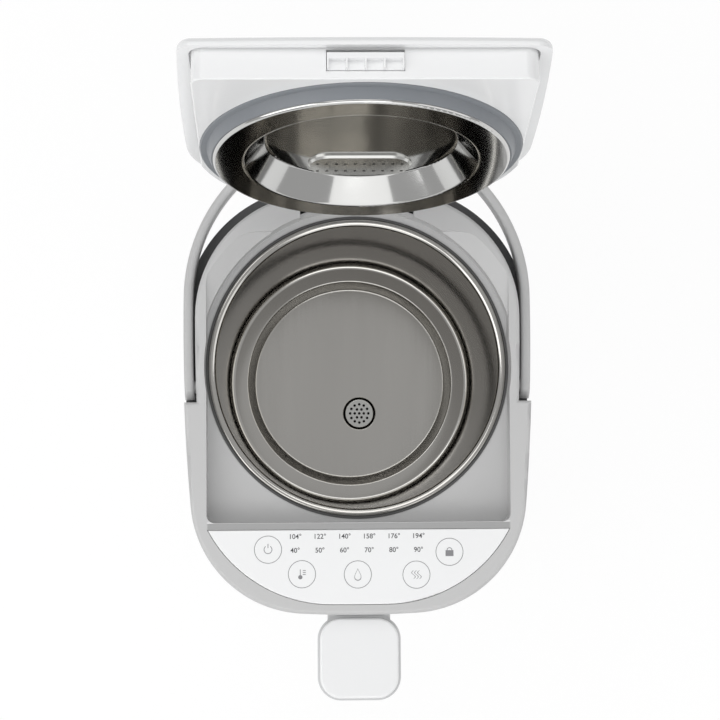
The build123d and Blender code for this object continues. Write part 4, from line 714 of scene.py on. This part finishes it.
def panel_print():
    """Circles with their symbols in one piece, and each number of the two rows as its own."""
    ink = Print(PANEL_TOP + PRINT_RISE)
    for centre in PADS.values():
        ink.band(centre, PAD_RADIUS - PAD_LINE, PAD_RADIUS)
    power = PADS["power"]
    ink.band(power, POWER_RADIUS - SYMBOL_LINE, POWER_RADIUS, POWER_START, POWER_END)
    ink.bar(power, 0, POWER_BAR_Y, SYMBOL_LINE, POWER_BAR)
    lock = PADS["lock"]
    ink.band((lock[0], lock[1] + LOCK_BOW_Y), LOCK_BOW_RADIUS - SYMBOL_LINE, LOCK_BOW_RADIUS, 0, 180, 24)
    ink.bar(lock, 0, LOCK_Y, LOCK_WIDTH, LOCK_HEIGHT)
    ink.drop(PADS["drop"], DROP_RADIUS, SYMBOL_LINE)
    for x in STEAM_X:
        ink.wave(PADS["steam"], x, STEAM_HEIGHT, SYMBOL_LINE)
    heat = PADS["heat"]
    ink.bar(heat, HEAT_X, HEAT_STEM_Y, SYMBOL_LINE, HEAT_STEM)
    ink.band((heat[0] + HEAT_X, heat[1] + HEAT_BULB_Y), 0, HEAT_BULB_RADIUS, 0, 360, 24)
    for y in HEAT_MARK_Y:
        ink.bar(heat, HEAT_MARK_X, y, HEAT_MARK, SYMBOL_LINE)
    ink.piece("panel_symbols", PALE_INK, "housing")
    for y, words in ((UPPER_SCALE_Y, UPPER_SCALE), (LOWER_SCALE_Y, LOWER_SCALE)):
        for x, word in zip(SCALE_X, words):
            number(word, x, y)


def number(word, x, y):
    """A number with its degree sign, printed flat on the panel."""
    curve = bpy.data.curves.new("scale_" + word, "FONT")
    curve.body = word + "°"
    curve.size = DIGIT_HEIGHT / DIGIT_SHARE
    curve.offset = DIGIT_WEIGHT
    curve.align_x = "CENTER"
    curve.align_y = "CENTER"
    curve.materials.append(INK)
    obj = placed(curve.name, curve)
    obj.location = (x, y, PANEL_TOP + PRINT_RISE)
    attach(obj, "housing")


def lights():
    for name, place, size, power in LAMPS:
        data = bpy.data.lights.new(name, "AREA")
        data.shape = "RECTANGLE"
        data.size, data.size_y = size
        data.energy = power
        lamp = placed(name, data)
        lamp.location = place
        aim = Vector(LAMP_TARGET) - Vector(place)
        lamp.rotation_euler = aim.to_track_quat("-Z", "Y").to_euler()
    world = bpy.data.worlds.new("studio")
    scene.world = world
    world.use_nodes = True
    sky = world.node_tree.nodes["Background"]
    sky.inputs["Color"].default_value = (1, 1, 1, 1)
    sky.inputs["Strength"].default_value = WORLD_STRENGTH


def floor():
    """A wide sheet of paper that keeps the part's shadow and otherwise shows as white."""
    data = bpy.data.meshes.new("floor")
    half = FLOOR_HALF_WIDTH
    corners = [(-half, -half, 0), (half, -half, 0), (half, half, 0), (-half, half, 0)]
    data.from_pydata(corners, [], [(0, 1, 2, 3)])
    mat, tree, shader = material("floor_paper")
    grain = noise(tree, 500, 3)
    tinted(tree, shader, grain, "Fac", FLOOR_COLOUR, 0.01)
    link(tree, ranged(tree, grain, "Fac", 0.8, 0.9), "Result", shader, "Roughness")
    glow = tree.nodes.new("ShaderNodeEmission")
    glow.inputs["Strength"].default_value = GLOW_STRENGTH
    path = tree.nodes.new("ShaderNodeLightPath")
    seen = combined(tree, "MAXIMUM", path, "Is Camera Ray", path, "Is Glossy Ray")
    through = combined(tree, "MAXIMUM", seen, "Value", path, "Is Transmission Ray")
    share = tree.nodes.new("ShaderNodeMath")
    share.operation = "MULTIPLY"
    share.inputs[1].default_value = GLOW_SHARE
    link(tree, through, "Value", share, 0)
    mix = tree.nodes.new("ShaderNodeMixShader")
    link(tree, share, "Value", mix, 0)
    link(tree, shader, "BSDF", mix, 1)
    link(tree, glow, "Emission", mix, 2)
    link(tree, mix, "Shader", tree.nodes["Material Output"], "Surface")
    data.materials.append(mat)
    placed("floor", data)


camera()
dress()
drawn_pot()
carrying_handle()
panel_print()
lights()
floor()
